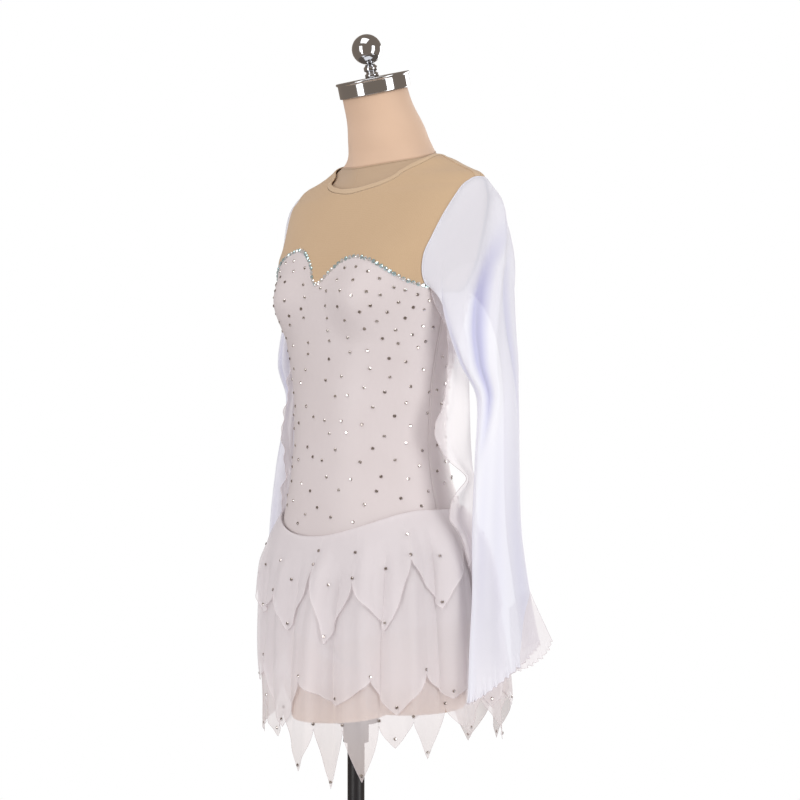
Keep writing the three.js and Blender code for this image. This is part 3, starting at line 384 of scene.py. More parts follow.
black_coat, tree, shader = new_material("black_powder_coat")
place = node(tree, "ShaderNodeTexCoord")
pebble = node(tree, "ShaderNodeTexNoise", Vector=place.outputs["Object"], Scale=700.0, Detail=2.0)
relief = node(tree, "ShaderNodeBump", Height=pebble.outputs["Fac"], Distance=0.0002, Strength=0.35)
tree.links.new(relief.outputs[0], shader.inputs["Normal"])
shader.inputs["Base Color"].default_value = linear("#1f1d20")
shader.inputs["Roughness"].default_value = 0.38

POLE_X, POLE_Y, POLE_RADIUS, SEAT = -62, 20, 12.7, 571.65
STAND = {
    "steel_foot_plate": ("stand_base", 0, 0, [
        (0, 0), (188.5, 0), (190, 1.2), (190, 7), (189.1, 8.9), (187, 10), (0, 10)]),
    "steel_pole": ("stand_pole", POLE_X, POLE_Y, [
        (0, 10.35), (POLE_RADIUS, 10.35), (POLE_RADIUS, 535.3), (0, 535.3)]),
    "steel_collar": ("stand_collar", POLE_X, POLE_Y, [
        (13.25, 10.35), (23.5, 10.35), (24, 11), (24, 33), (23.2, 35), (21, 36), (13.25, 36),
        (13.25, 10.35)]),
    "steel_socket": ("stand_socket", POLE_X, POLE_Y, [
        (0, 535.65), (18, 535.65), (18.8, 536), (19, 537), (19, 565.65), (33, 565.65), (33.8, 566), (34, 567),
        (34, SEAT), (0, SEAT)]),
}
for name, (target, x, y, profile) in STAND.items():
    turned = grid_object(name, lathe(profile) + np.array([x, y, 0]), black_coat, wrap=True)
    bevel = turned.modifiers.new("soft_edges", "EDGE_SPLIT")
    bevel.split_angle = np.radians(40)
    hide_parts(target)

# ---- Bodice ----
# A front and a back panel of white stretch lycra, sewn at the side seams, with a sweetheart edge.
# The satin face of a fine warp knit: smooth, with a soft shine and a faint rib.

EASE, WALL = 0.5, 1.1
LYCRA_OUT = EASE + WALL  # the cloth's outer face, from the form's bare surface
LYCRA_SHELL = 0.9
SEAM_TURN = 0.12
SWEETHEART = np.array([  # distance from the middle, height on the left and on the right
    (0, 1208, 1208), (9, 1214, 1214), (20, 1223, 1234), (35, 1235, 1249), (50, 1243, 1258), (66, 1246, 1262),
    (92, 1241, 1257), (120, 1226, 1242), (140, 1211, 1222), (153, 1203, 1203), (170, 1192, 1192),
])
BACK_EDGE = 1206
ARM_Z, ARM_HALF, ARM_TURN, ARM_FULLNESS = 1276, 80, 27, 0.7
WAIST_SIDE, WAIST_FRONT, WAIST_REACH = 887, 849, 78

lycra, tree, shader = new_material("white_stretch_lycra")
place = node(tree, "ShaderNodeTexCoord")
rib = node(tree, "ShaderNodeTexWave", {"bands_direction": "X"}, Vector=place.outputs["UV"], Scale=180.0,
           Distortion=0.6, Detail=1.0)
cloud = node(tree, "ShaderNodeTexNoise", Vector=place.outputs["Object"], Scale=11.0, Detail=2.0)
tint = node(tree, "ShaderNodeMix", {"data_type": "RGBA"}, i0=cloud.outputs["Fac"],
            i6=linear("#ddd2cf"), i7=linear("#e6dcda"))
relief = node(tree, "ShaderNodeBump", Height=rib.outputs["Fac"], Distance=0.00012, Strength=0.2)
tree.links.new(tint.outputs[2], shader.inputs["Base Color"])
tree.links.new(relief.outputs[0], shader.inputs["Normal"])
shader.inputs["Roughness"].default_value = 0.48
shader.inputs["Sheen Weight"].default_value = 0.15


def smooth(x):
    """The smooth step 3x^2 - 2x^3 of x held between 0 and 1."""
    x = np.clip(x, 0, 1)
    return x * x * (3 - 2 * x)


def from_front(turn):
    """Angle from the front middle, 0 to 180, on either side."""
    return np.abs((turn + 180) % 360 - 180)


def waist_seam(turn):
    """Height of the waist seam: level, with a U-shaped dip at the front."""
    dip = smooth(1 - from_front(turn) / WAIST_REACH)
    return WAIST_SIDE + (WAIST_FRONT - WAIST_SIDE) * dip


def sweetheart(turn):
    """Height of the sweetheart edge, found by stepping to where its curve meets the body."""
    turn = np.asarray(turn, float)
    z = np.full(turn.shape, 1240.0)
    for _ in range(14):
        row = through_rows(SWEETHEART, np.abs(body(turn, z)[..., 0]))
        z = z + 0.7 * (np.where(turn < 0, row[2], row[1]) - z)
    return z


def armhole(angle, inset=0.0):
    """Turn and height round the left armhole: 0 is the underarm, 90 the front, 180 the shoulder."""
    s = np.sin(np.radians(angle))
    turn = 90 - ARM_TURN * (1 - inset / 62) * np.sign(s) * np.abs(s) ** ARM_FULLNESS
    return turn, ARM_Z - (ARM_HALF - inset) * np.cos(np.radians(angle))


def underarm(turn):
    """Height of the armhole's lower edge at a turn beside the side seam."""
    share = np.minimum(1, np.abs(from_front(turn) - 90) / ARM_TURN) ** (1 / ARM_FULLNESS)
    return ARM_Z - ARM_HALF * np.sqrt(1 - share**2)


def crossing(line, low, high):
    """The armhole's angle where it crosses an edge line, by halving."""
    for _ in range(40):
        middle = (low + high) / 2
        turn, z = armhole(middle)
        low, high = (middle, high) if z < line(turn) else (low, middle)
    return (low + high) / 2


front_meet = crossing(lambda turn: float(sweetheart(np.array([turn]))[0]), 1, 89)
back_meet = 360 - crossing(lambda turn: BACK_EDGE, 1, 89)
front_turn, back_turn = armhole(front_meet)[0], armhole(back_meet)[0]


def front_edge(turn):
    """Top of the front panel: the sweetheart edge, then the armhole's lower edge."""
    end = sweetheart(np.full(np.shape(turn), front_turn))
    return np.where(np.abs(turn) < front_turn, sweetheart(turn), np.minimum(end, underarm(turn)))


def back_edge(turn):
    """Top of the back panel: level, then the armhole's lower edge."""
    return np.where(from_front(turn) > back_turn, BACK_EDGE, np.minimum(BACK_EDGE, underarm(turn)))


def body_panel(name, turns, bottom, top, rows, out, target):
    """A lycra panel that follows the body between two edge lines over a range of turns."""
    share = np.linspace(0, 1, rows)[:, None]
    low, high = bottom(turns), top(turns)
    points = on_body(turns[None, :], low + (high - low) * share, out)
    panel = grid_object(name, points, lycra, thickness=LYCRA_SHELL)
    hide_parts(target)


half = 90 * np.linspace(0, 1, 66) ** 1.25
half[-1] -= SEAM_TURN
front_turns = np.concatenate([-half[:0:-1], half])
back_turns = 180 + front_turns
body_panel("bodice_front_panel", front_turns, waist_seam, front_edge, 84, LYCRA_OUT, "bodice_front")
body_panel("bodice_back_panel", back_turns, waist_seam, back_edge, 70, LYCRA_OUT, "bodice_back")

z = np.linspace(WAIST_SIDE, ARM_Z - ARM_HALF - 1, 80)
for word, side in (("right", -1), ("left", 1)):
    turn = np.full(80, 90.0 * side)
    seam_cord(f"side_seam_{word}", on_body(turn, z, LYCRA_OUT - 0.5), body_normals(turn, z), 0.9, lycra)

# ---- Brief ----
# The lower part of the leotard: a front, a back and a gusset of the same lycra, sewn to the bodice at
# the waist and to each other at the sides, with a plain edge round each leg.

LEG_SIDE, LEG_MIDDLE, GUSSET_HALF = 733, 692, 17
BEND, GUSSET_GAP = 0.3, 0.35  # share of the gusset's length up the front, and its gap below the leg openings
BRIEF_OUT = LYCRA_OUT - 0.3


def leg_edge(turn):
    """Height of the leg opening: low beside the gusset and high at the side."""
    return LEG_MIDDLE + (LEG_SIDE - LEG_MIDDLE) * np.abs(np.sin(np.radians(turn))) ** 0.9


def under_waist(turn):
    """The brief's and the skirt's upper edge, just below the bodice."""
    return waist_seam(turn) - 0.55


body_panel("brief_front_panel", front_turns, leg_edge, under_waist, 36, BRIEF_OUT, "brief_front")
body_panel("brief_back_panel", back_turns, leg_edge, under_waist, 36, BRIEF_OUT, "brief_back")


def gusset(x, along):
    """Down the front, under the seat and up the back at a distance x from the middle."""
    x, along = np.broadcast_arrays(np.asarray(x, float), np.asarray(along, float))
    end = np.minimum(along, 1 - along)
    turn = np.where(along < 0.5, 0.0, 180.0)
    top = LEG_MIDDLE - GUSSET_GAP
    z = top + (BODY[0, 0] - top) * np.clip(end / BEND, 0, 1)
    point = body(turn, z)
    under = BODY[0, 3] - (BODY[0, 3] + BODY[0, 2]) * (1 - along - BEND) / (1 - 2 * BEND)
    point[..., 1] = np.where(end > BEND, under, point[..., 1])
    point[..., 0] = x
    return point


x, along = np.linspace(-GUSSET_HALF, GUSSET_HALF, 9)[None, :], np.linspace(0, 1, 61)[:, None]
points = gusset(x, along) - normals_of(gusset, x, along, 0.5, 0.004) * LYCRA_OUT
panel = grid_object("brief_gusset_panel", points[:, ::-1], lycra, thickness=LYCRA_SHELL)
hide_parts("brief_gusset")

# ---- Yoke and neck binding ----
# A front and a back of skin-toned power mesh, joined under a tape on each shoulder, with a folded strip
# of the same mesh round the neck. Fine open knit: dull, with tiny holes.

NECK_FRONT, NECK_SIDE, NECK_BACK = 1346, 1396, 1398
BINDING = 9
SHOULDER_ROWS, SHOULDER_LIFT = 5, 0.75  # rows of the front panel under the shoulder tape, and its rise
NECK_STEPS = 31  # columns of half a yoke panel along the neckline, and along the shoulder


def power_mesh(name, dark, light, deep):
    """Power mesh: a dull open knit whose colour deepens in its holes."""
    material, tree, shader = new_material(name)
    place = node(tree, "ShaderNodeTexCoord")
    # The real holes are 0.5 mm. They are drawn at 1.6 mm, so that they just show.
    holes = node(tree, "ShaderNodeTexVoronoi", {"feature": "F1"}, Vector=place.outputs["Object"], Scale=620.0,
                 Randomness=0.35)
    cloud = node(tree, "ShaderNodeTexNoise", Vector=place.outputs["Object"], Scale=9.0, Detail=3.0)
    tint = node(tree, "ShaderNodeMix", {"data_type": "RGBA"}, i0=cloud.outputs["Fac"],
                i6=linear(dark), i7=linear(light))
    thread = node(tree, "ShaderNodeMapRange", Value=holes.outputs["Distance"], From_Min=0.1, From_Max=0.6,
                  To_Min=0.0, To_Max=0.22)
    deepened = node(tree, "ShaderNodeMix", {"data_type": "RGBA"}, i0=thread.outputs[0], i6=tint.outputs[2],
                    i7=linear(deep))
    relief = node(tree, "ShaderNodeBump", Height=holes.outputs["Distance"], Distance=0.0003, Strength=0.3)
    tree.links.new(deepened.outputs[2], shader.inputs["Base Color"])
    tree.links.new(relief.outputs[0], shader.inputs["Normal"])
    shader.inputs["Roughness"].default_value = 0.8
    shader.inputs["Sheen Weight"].default_value = 0.2
    return material


skin_mesh = power_mesh("skin_power_mesh", "#d0b18c", "#d9bb96", "#b8976f")
folded_mesh = power_mesh("folded_power_mesh", "#d4b894", "#dcc2a2", "#bf9f79")


def neckline(turn):
    """Height of the neckline: lowest at the front middle, rising to the neck point and round the back."""
    f = from_front(turn)
    front = NECK_FRONT + (NECK_SIDE - NECK_FRONT) * np.sin(np.radians(np.minimum(f, 90))) ** 2.2
    return np.where(f > 90, NECK_SIDE + (NECK_BACK - NECK_SIDE) * smooth((f - 90) / 60), front)


def below_neckline(turn, distance):
    """Height at a distance along the body below the neckline, walked in eight steps."""
    z = neckline(turn)
    for _ in range(8):
        z = z - distance / 8 / np.linalg.norm(body(turn, z + 0.5) - body(turn, z - 0.5), axis=-1)
    return z


def yoke_panel(name, line, middle, end, meet, side, neck_share, target):
    """A patch of turn and height blended between its lower edge, its neckline and shoulder seam, and
    its armhole, then laid on the body and mirrored."""
    columns = [np.linspace(0, neck_share, NECK_STEPS), np.linspace(neck_share, 1, NECK_STEPS)[1:]]
    u = np.concatenate(columns)[None, :]
    v = np.linspace(0, 1, 72)[:, None]
    edge = lambda turn: below_neckline(turn, BINDING / 2 + 0.45)
    neck = middle + (side - middle) * np.minimum(u / neck_share, 1)
    down = np.maximum(0, (u - neck_share) / (1 - neck_share))
    top_z = edge(neck) + (ARM_Z + ARM_HALF - edge(neck)) * down
    low_turn = middle + (end - middle) * u
    halves = []
    for sign in (-1, 1):
        low_z = line(low_turn * sign if middle == 0 else low_turn) + 0.3
        arm_turn, arm_z = armhole(meet + (180 - meet) * v)
        arm_turn = np.where(v == 1, side, arm_turn)
        left_turn, left_z = np.full_like(v, middle), low_z[:, :1] + (top_z[:, :1] - low_z[:, :1]) * v

        def blend(low, high, left, right):
            lower = (low[:, :1] * (1 - u) + low[:, -1:] * u) * (1 - v)
            upper = (high[:, :1] * (1 - u) + high[:, -1:] * u) * v
            return low * (1 - v) + high * v + left * (1 - u) + right * u - (lower + upper)

        turn = blend(low_turn, neck, left_turn, arm_turn)
        z = blend(low_z, top_z, left_z, arm_z)
        points = on_body(turn, z, LYCRA_OUT)
        points[..., 0] *= sign
        halves.append(points)
    points = np.concatenate([halves[0][:, :0:-1], halves[1]], axis=1)
    if middle:
        points = points[:, ::-1]
    panel = grid_object(name, points, skin_mesh, thickness=0.8)
    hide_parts(target)
    return halves


front_halves = yoke_panel("yoke_front_panel", sweetheart, 0.0, front_turn, front_meet, 89.64, 0.4,
                          "yoke_front")
yoke_panel("yoke_back_panel", lambda turn: np.full(np.shape(turn), float(BACK_EDGE)), 180.0, back_turn,
           back_meet, 90.36, 0.7, "yoke_back")
for word, turning, points in zip(("right", "left"), (-1, 1), front_halves):
    strip = points[-SHOULDER_ROWS:, NECK_STEPS - 1 :] + np.array([0, -0.25, SHOULDER_LIFT])
    tape = grid_object(f"shoulder_tape_{word}", strip[:, ::turning], folded_mesh, thickness=0.7)

turns = np.linspace(-179.8, 179.8, 361)[None, :]
share = np.linspace(0.5, -0.5, 9)[:, None]
lift = LYCRA_OUT + 0.7 * np.cos(share * np.pi) ** 0.5
strip = on_body(turns, below_neckline(turns, share * BINDING), lift)
binding = grid_object("neck_binding_strip", strip, folded_mesh, thickness=1)
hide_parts("neck_binding")

# ---- Skirt ----
# Three layers of sheer polyester chiffon hung from the waist seam, each cut into pointed leaves with a
# rolled edge. Each layer is a front and a back piece, sewn at the sides.

SKIRT = np.array([  # z, half width, front and back reach, widest line in Y, squareness, ridge
    (470, 176, 148, 212, 10, 2, 1),
    (556, 176, 149, 204, 10, 2, 1),
    (640, 176, 152, 190, 9, 2, 1),
    (705, 174, 151, 176, 8, 2, 1),
    (790, 170, 141, 155, 6, 2.1, 1),
    (840, 163, 134, 143, 4, 2.1, 1),
    (900, 150, 125, 128, 2, 2.1, 1),
])
SKIRT_PUFF, FLUTE_FULL, FLUTE_RISE = 62, 300, 8
LAYER_GAP, CHIFFON, LAYER_SPREAD = 0.85, 1, 3.2
LEAVES = {  # turn and height of each tip, then of the notch after it
    "upper": [(-30, 737, -12, 768), (-2, 720, 12, 806), (20, 706, 34, 792), (51, 727, 62, 824),
              (80, 756, 92, 838), (112, 722, 127, 806), (143, 735, 160, 797), (178, 712, 196, 812),
              (212, 740, 226, 800), (243, 715, 261, 826), (277, 742, 293, 798), (309, 716, 318, 784)],
    "middle": [(-40, 636, -22, 672), (-5, 584, 9, 652), (27, 622, 42, 660), (55, 612, 68, 668),
               (83, 632, 97, 682), (110, 610, 126, 676), (141, 596, 155, 668), (170, 618, 188, 680),
               (203, 592, 219, 664), (236, 622, 251, 677), (268, 600, 281, 668), (296, 628, 308, 684)],
    "lower": [(-48, 556, -29, 612), (-14, 566, -4, 606), (6, 526, 14, 588), (21, 504, 30, 590),
              (38, 519, 46, 596), (54, 566, 62, 604), (70, 549, 80, 618), (94, 574, 106, 622),
              (124, 555, 139, 628), (155, 540, 169, 612), (184, 522, 198, 606), (214, 548, 228, 618),
              (242, 530, 256, 610), (270, 563, 284, 616)],
}
CREASES = np.array([  # turn at the seam, lean in degrees per 100 mm, half width, depth, from and to drop
    (-84, 1.5, 4.4, -7, 20, 340), (-66, -1.0, 3.8, 6, 10, 300), (-52, 1.2, 4.2, -8, 30, 360),
    (-37, 0.4, 3.4, 7, 5, 260), (-25, -0.8, 3.6, -7, 25, 330), (-9, 0.6, 3.0, 5, 8, 380),
    (2, -0.5, 3.2, -8, 15, 300), (16, -1.6, 3.8, 10, 4, 400), (27, -1.2, 3.0, -7, 30, 340),
    (38, 0.9, 3.4, 7, 10, 340), (50, -1.2, 3.2, -8, 20, 280), (62, 0.5, 3.8, 8, 6, 360),
    (75, 1.2, 3.2, -7, 12, 300), (88, -0.4, 3.8, 6, 20, 340), (101, 0.8, 3.4, -8, 10, 330),
    (117, -1.0, 4.2, 7, 8, 300), (131, 0.6, 3.2, -7, 24, 350), (146, -0.5, 3.8, 8, 6, 320),
    (163, 1.1, 3.4, -7, 14, 300), (178, -0.7, 4.2, 7, 10, 360), (194, 0.5, 3.2, -8, 22, 310),
    (209, -1.1, 3.6, 7, 8, 340), (226, 0.9, 4.2, -7, 16, 300), (243, -0.6, 3.4, 8, 6, 350),
    (259, 0.7, 3.8, -6, 20, 320),
])


def sheer_chiffon(name, roughness, alpha):
    """Polyester chiffon: a dull, crisp, see-through plain weave with a soft sheen."""
    material, tree, shader = new_material(name)
    place = node(tree, "ShaderNodeTexCoord")
    # The real threads are 0.15 mm apart. The weave is drawn at 1.5 mm, so that it just shows.
    weave = node(tree, "ShaderNodeTexNoise", Vector=place.outputs["UV"], Scale=650.0, Detail=2.0)
    relief = node(tree, "ShaderNodeBump", Height=weave.outputs["Fac"], Distance=0.0002, Strength=0.25)
    tree.links.new(relief.outputs[0], shader.inputs["Normal"])
    shader.inputs["Roughness"].default_value = roughness
    shader.inputs["Sheen Weight"].default_value = 0.3
    shader.inputs["Alpha"].default_value = alpha
    return material, tree, shader, place


# Below the brief the skirt's layers are painted darker and a little warmer towards the hem: painted shade.
chiffon, tree, shader, place = sheer_chiffon("white_polyester_chiffon", 0.65, 0.62)
height = node(tree, "ShaderNodeSeparateXYZ", Vector=place.outputs["Object"])
# Painted shade: the chiffon's colour darkens from 0.66 m down to 0.54 m.
low = node(tree, "ShaderNodeMapRange", Value=height.outputs["Z"], From_Min=0.66, From_Max=0.54)
tint = node(tree, "ShaderNodeMix", {"data_type": "RGBA"}, i0=low.outputs[0], i6=linear("#faf3f3"),
            i7=linear("#e6dad4"))
tree.links.new(tint.outputs[2], shader.inputs["Base Color"])

# The same chiffon rolled and oversewn: a thin, half sheer, dull line.
rolled_hem, tree, shader = new_material("rolled_chiffon_hem")
shader.inputs["Base Color"].default_value = linear("#f3eaea")
shader.inputs["Roughness"].default_value = 0.7
shader.inputs["Alpha"].default_value = 0.5


def leaf_marks(leaves):
    """Turns and heights of the tips and notches over three rounds, in order, and which are tips."""
    rows = np.array(leaves, float)
    turns = np.concatenate([np.stack([rows[:, 0], rows[:, 2]], 1).ravel() + lap for lap in (-360, 0, 360)])
    return turns, np.tile(np.stack([rows[:, 1], rows[:, 3]], 1).ravel(), 3), np.arange(len(turns)) % 2 == 0


def leaf_hem(marks, turn):
    """Height of the hem and the share of the way from a tip to its notch: each side of a leaf is a
    convex curve, the notch less the 0.72nd power of what is left of the way."""
    turns, heights, tips = marks
    i = np.clip(np.searchsorted(turns, turn, side="right") - 1, 0, len(turns) - 2)
    tip, notch = np.where(tips[i], i, i + 1), np.where(tips[i], i + 1, i)
    away = np.clip(np.abs((turn - turns[tip]) / (turns[notch] - turns[tip])), 0, 1)
    share = 1 - (1 - away) ** 0.72
    return heights[tip] + (heights[notch] - heights[tip]) * share, away


def skirt(turn, z, layer, edge=0.0, away=0.0):
    """The skirt leaves the body in a quarter sine below the seam, flares by its sections, falls in two sines
    of flutes and a row of Gaussian creases, and ripples and curls towards its edge."""
    turn, z = np.broadcast_arrays(turn, z)
    drop = np.maximum(0, waist_seam(turn) - z)
    columns = through_rows(SKIRT, z)
    columns[0] = z
    free = section(columns, turn)
    hug = np.sin(np.minimum(drop / SKIRT_PUFF, 1) * np.pi / 2)[..., None]
    point = body(turn, z) * (1 - hug) + free * hug
    full = np.clip(drop / FLUTE_FULL, 0, 1)
    t = np.radians(turn)
    out = FLUTE_RISE * full * (0.65 * np.sin(13 * t + 0.6) + 0.35 * np.sin(8 * t + 2.1))
    for at, lean, width, depth, start, stop in CREASES:
        across = ((turn - at - lean * drop / 100 + 180) % 360 - 180) / width
        fade = smooth((drop - start) / 60) * smooth((stop - drop) / 160 + 0.4)
        out = out + depth * np.exp(-across**2) * fade
    out = out + LAYER_SPREAD * layer * np.sqrt(full)
    out = out + edge * (0.6 * np.sin(47 * t + 9 * layer) + 0.3 * np.sin(83 * t) + 4 * away**2 - 1.5)
    radial = np.stack([np.sin(t), -np.cos(t), np.zeros(t.shape)], -1)
    return point + radial * out[..., None]


def skirt_piece(name, layer, word, first, last, target, flat, area, rows=48, step=0.48):
    """One half of a layer from its seam down to its leafy edge, with a cord rolled along the edge."""
    marks = leaf_marks(LEAVES[word])
    near = marks[0][(marks[0] > first) & (marks[0] < last)]
    turns = np.union1d(np.linspace(first, last, int((last - first) / step) + 1), near)
    hem, away = leaf_hem(marks, turns)
    share = np.linspace(0, 1, rows)[:, None] ** 1.15
    top = under_waist(turns)
    z = hem + (top - hem) * share
    below = np.exp(-(z - hem) / 22) * np.minimum(1, (top - hem) / 60)
    away = np.broadcast_to(away, z.shape)
    inner = LYCRA_OUT + LAYER_GAP + layer * (CHIFFON + LAYER_GAP) + CHIFFON / 2
    surface = lambda u, v: skirt(u, v, layer)
    facing = normals_of(surface, np.broadcast_to(turns, z.shape), z, 0.4, 0.6)
    points = skirt(turns[None, :], z, layer, below, away) + facing * inner
    piece = grid_object(name, points, chiffon)
    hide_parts(target)
    cord = seam_cord(f"{name}_rolled_edge", points[0], facing[0], 0.35, rolled_hem)
    return points, facing, turns


SKIRT_CUTS = {  # width and length of the cut and its area, in metres
    ("lower", "front"): ((0.60, 0.36), 0.17), ("lower", "back"): ((0.64, 0.37), 0.185),
    ("middle", "front"): ((0.55, 0.29), 0.135), ("middle", "back"): ((0.58, 0.30), 0.15),
    ("upper", "front"): ((0.48, 0.17), 0.067), ("upper", "back"): ((0.50, 0.18), 0.077),
}
skirt_layers = {}
for layer, word in enumerate(["lower", "middle", "upper"]):
    for half, first in (("front", -90 + SEAM_TURN), ("back", 90 + SEAM_TURN)):
        skirt_layers[word, half] = skirt_piece(
            f"skirt_{word}_{half}_chiffon", layer, word, first, first + 180 - 2 * SEAM_TURN,
            f"skirt_{word}_{half}", *SKIRT_CUTS[word, half])

# ---- Sleeves ----
# A long bell sleeve of doubled chiffon on each arm, set into the armhole, open down the inside of the
# arm, wide at the wrist and longer at the front, with a stretched, rolled hem that waves. A narrow sheer
# flounce hangs in each underarm, and a single under layer shows at the back of each hem.

SLEEVE = np.array([  # z, middle in X, half depth, middle in Y, half width, skew
    (620, 213, 15, 62, 73, 2),
    (700, 213, 15, 58, 67, 2),
    (770, 212, 16, 52, 55, 3),
    (870, 210, 17, 45, 43, 4),
    (960, 207, 18, 49, 36, 5),
    (1045, 202, 18, 55, 31, 7),
    (1100, 196, 18, 42, 45, 11),
    (1150, 189, 17, 34, 50, 15),
    (1200, 184, 16, 30, 53, 18),
    (1250, 182, 16, 28, 56, 19),
])
SLEEVE_OPEN, SLEEVE_WRAP, ARM_SEAM = 22, 138, 0.95
ARM_OUT = LYCRA_OUT + CHIFFON / 2 + 0.35
HEM_FRONT, HEM_BACK = 628, 703
CAP_SHARE, CAP_TOP, CAP_EDGE, CAP_OUT = 0.36, 1238, 1115, 22
SWING, SWING_FROM, SWING_OVER = 29, 1230, 165  # how far the right sleeve hangs forward
FOLDS = np.array([  # place round the sleeve, lean per 100 mm, middle height, half height and width, depth
    (0.42, -0.120, 1130, 200, 0.050, 13), (0.53, -0.110, 1150, 200, 0.036, -5),
    (0.66, 0.006, 1150, 200, 0.040, 4), (0.76, 0.008, 1190, 150, 0.040, -3),
    (0.17, -0.010, 1090, 150, 0.050, 4), (0.44, 0.0, 860, 260, 0.070, 2.5),
    (0.62, 0.006, 800, 240, 0.080, 2.5), (0.30, -0.006, 860, 240, 0.060, 2),
    (0.80, -0.004, 820, 220, 0.060, 3), (0.12, 0.0, 800, 200, 0.050, 2.5),
    (0.88, 0.0, 960, 240, 0.050, 3),
])
FOLD_SHADE_DEPTH = 9  # depth of a trough at which the painted fold shade is fully lilac-grey

# Two layers together are denser. The troughs of the folds are painted lilac-grey: painted shade in the folds.
sleeve_chiffon, tree, shader, place = sheer_chiffon("doubled_white_chiffon", 0.6, 0.78)
painted_fold_shade = node(tree, "ShaderNodeAttribute", {"attribute_name": "painted_fold_shade"})
tint = node(tree, "ShaderNodeMix", {"data_type": "RGBA"}, i0=painted_fold_shade.outputs["Fac"], i6=linear("#f9f9ff"),
            i7=linear("#c6c6ea"))
tree.links.new(tint.outputs[2], shader.inputs["Base Color"])


def swing(side, z):
    """How far a sleeve hangs forward: the right one swings forward below the elbow."""
    return np.where(side < 0, SWING * smooth((SWING_FROM - z) / SWING_OVER), 0)


def sleeve_folds(along, z):
    """Depth of the sleeve's folds: a row of leaning Gaussian troughs and ridges that fade up and down."""
    fold = np.zeros(z.shape)
    for at, lean, middle, half, width, depth in FOLDS:
        across = (along - at - lean * (middle - z) / 100) / width
        fold += depth * np.exp(-across**2) * smooth(1 - np.abs((z - middle) / half))
    return fold


def sleeve(side, along, down):
    """From the armhole a quadratic curve over the sleeve's head to its hanging oval, then straight
    down the oval to a slanted hem, less the Gaussian folds, plus the waves of the hem."""
    along, down = np.broadcast_arrays(along, down)
    around = np.radians(-SLEEVE_WRAP + 2 * SLEEVE_WRAP * along)
    edge = np.abs(2 * along - 1)
    seam = on_body(*armhole(SLEEVE_OPEN + (360 - 2 * SLEEVE_OPEN) * along, ARM_SEAM), ARM_OUT)
    hang = CAP_TOP + (CAP_EDGE - CAP_TOP) * edge**2
    hem = HEM_FRONT + (HEM_BACK - HEM_FRONT) * (0.5 + 0.5 * np.sin(around))
    lower = np.clip((down - CAP_SHARE) / (1 - CAP_SHARE), 0, 1)
    z = hang + (hem - hang) * lower
    columns = through_rows(SLEEVE, z)
    fold = sleeve_folds(along, z)
    ripple = np.exp(-(1 - down) / 0.010) * (1.5 * np.sin(along * 190) + 0.9 * np.sin(along * 283 + 1))
    x = columns[1] + columns[5] * np.sin(around) + (columns[2] - fold + ripple) * np.cos(around)
    y = columns[3] + (columns[4] - fold + ripple) * np.sin(around) - swing(side, z)
    end = np.stack([x, y, z - 0.5 * ripple], -1)
    crown = smooth(1 - edge**1.5)
    bulge = np.stack([x + CAP_OUT * crown, 0 * x, 0 * x], -1)
    bulge[..., 1] = (seam[..., 1] * 0.55 + y * 0.45) * (1 - crown) + y * crown
    bulge[..., 2] = (seam[..., 2] * 0.8 + hang * 0.2) * (1 - crown) + seam[..., 2] * crown
    share = np.clip(down / CAP_SHARE, 0, 1)[..., None]
    head = seam * (1 - share) ** 2 + bulge * 2 * share * (1 - share) + end * share**2
    point = np.where(down[..., None] < CAP_SHARE, head, end)
    return point * np.array([side, 1, 1])


FLOUNCE_HALF = 17  # degrees of the armhole on each side of the underarm
FLOUNCE = np.array([  # z, front edge in X and Y, back edge in X and Y
    (812, 186, 14, 187, 36),
    (850, 180, 8, 186, 34),
    (882, 170, -7, 185, 31),
    (908, 172, -4, 184, 29),
    (935, 183, 12, 183, 27),
    (962, 164, -6, 181, 25),
    (1000, 153, -20, 179, 24),
    (1050, 158, -5, 176, 25),
    (1110, 160, -1, 170, 29),
    (1175, 157, -2, 159, 25),
])


def flounce(side, along, down):
    """A strip that hangs from the underarm between a scalloped front edge and a straight back edge,
    with a sine across it that grows downwards and a ruffle along the front edge."""
    along, down = np.broadcast_arrays(along, down)
    seam = on_body(*armhole(FLOUNCE_HALF * (1 - 2 * along), ARM_SEAM), ARM_OUT)
    z = seam[..., 2] + (FLOUNCE[0, 0] + 6 * np.sin(along * 9) - seam[..., 2]) * down
    row = through_rows(FLOUNCE, np.minimum(z, FLOUNCE[-1, 0]))
    wave = 3 * np.sin(along * 3 * np.pi) * smooth(down * 1.5)
    ruffle = np.exp(-along / 0.14) * (1.6 * np.sin(z / 6.5) + 1.1 * np.sin(z / 3.7)) * smooth(down * 4)
    x = row[1] + (row[3] - row[1]) * along + wave + ruffle
    y = row[2] + (row[4] - row[2]) * along - swing(side, z) - 0.5 * ruffle
    hang = np.stack([x, y, z], -1)
    share = smooth(down / 0.16)[..., None]
    point = seam * (1 - share) + hang * share
    point[..., 2] = z
    return point * np.array([side, 1, 1])


CORNER_FROM, CORNER_TO, CORNER_TOP = 0.50, 0.80, 0.90  # places round the sleeve, and where down it starts
CORNER_OUT, CORNER_DROP = 19, 12


def hem_corner(side, along, down):
    """The single under layer at the back of the hem: the sleeve's own surface, moved outwards and
    back, and down in a half sine, by its share of the way round and down."""
    round_share = (along - CORNER_FROM) / (CORNER_TO - CORNER_FROM)
    down_share = (down - CORNER_TOP) / (1 - CORNER_TOP)
    out = CORNER_OUT * round_share * down_share
    drop = CORNER_DROP * np.sin(np.pi * round_share) * down_share
    inset = 1.2 * np.cos(np.radians(-SLEEVE_WRAP + 2 * SLEEVE_WRAP * along))
    return sleeve(side, along, down) + np.stack([(0.5 * out - inset) * side, 0.85 * out - inset, -drop], -1)


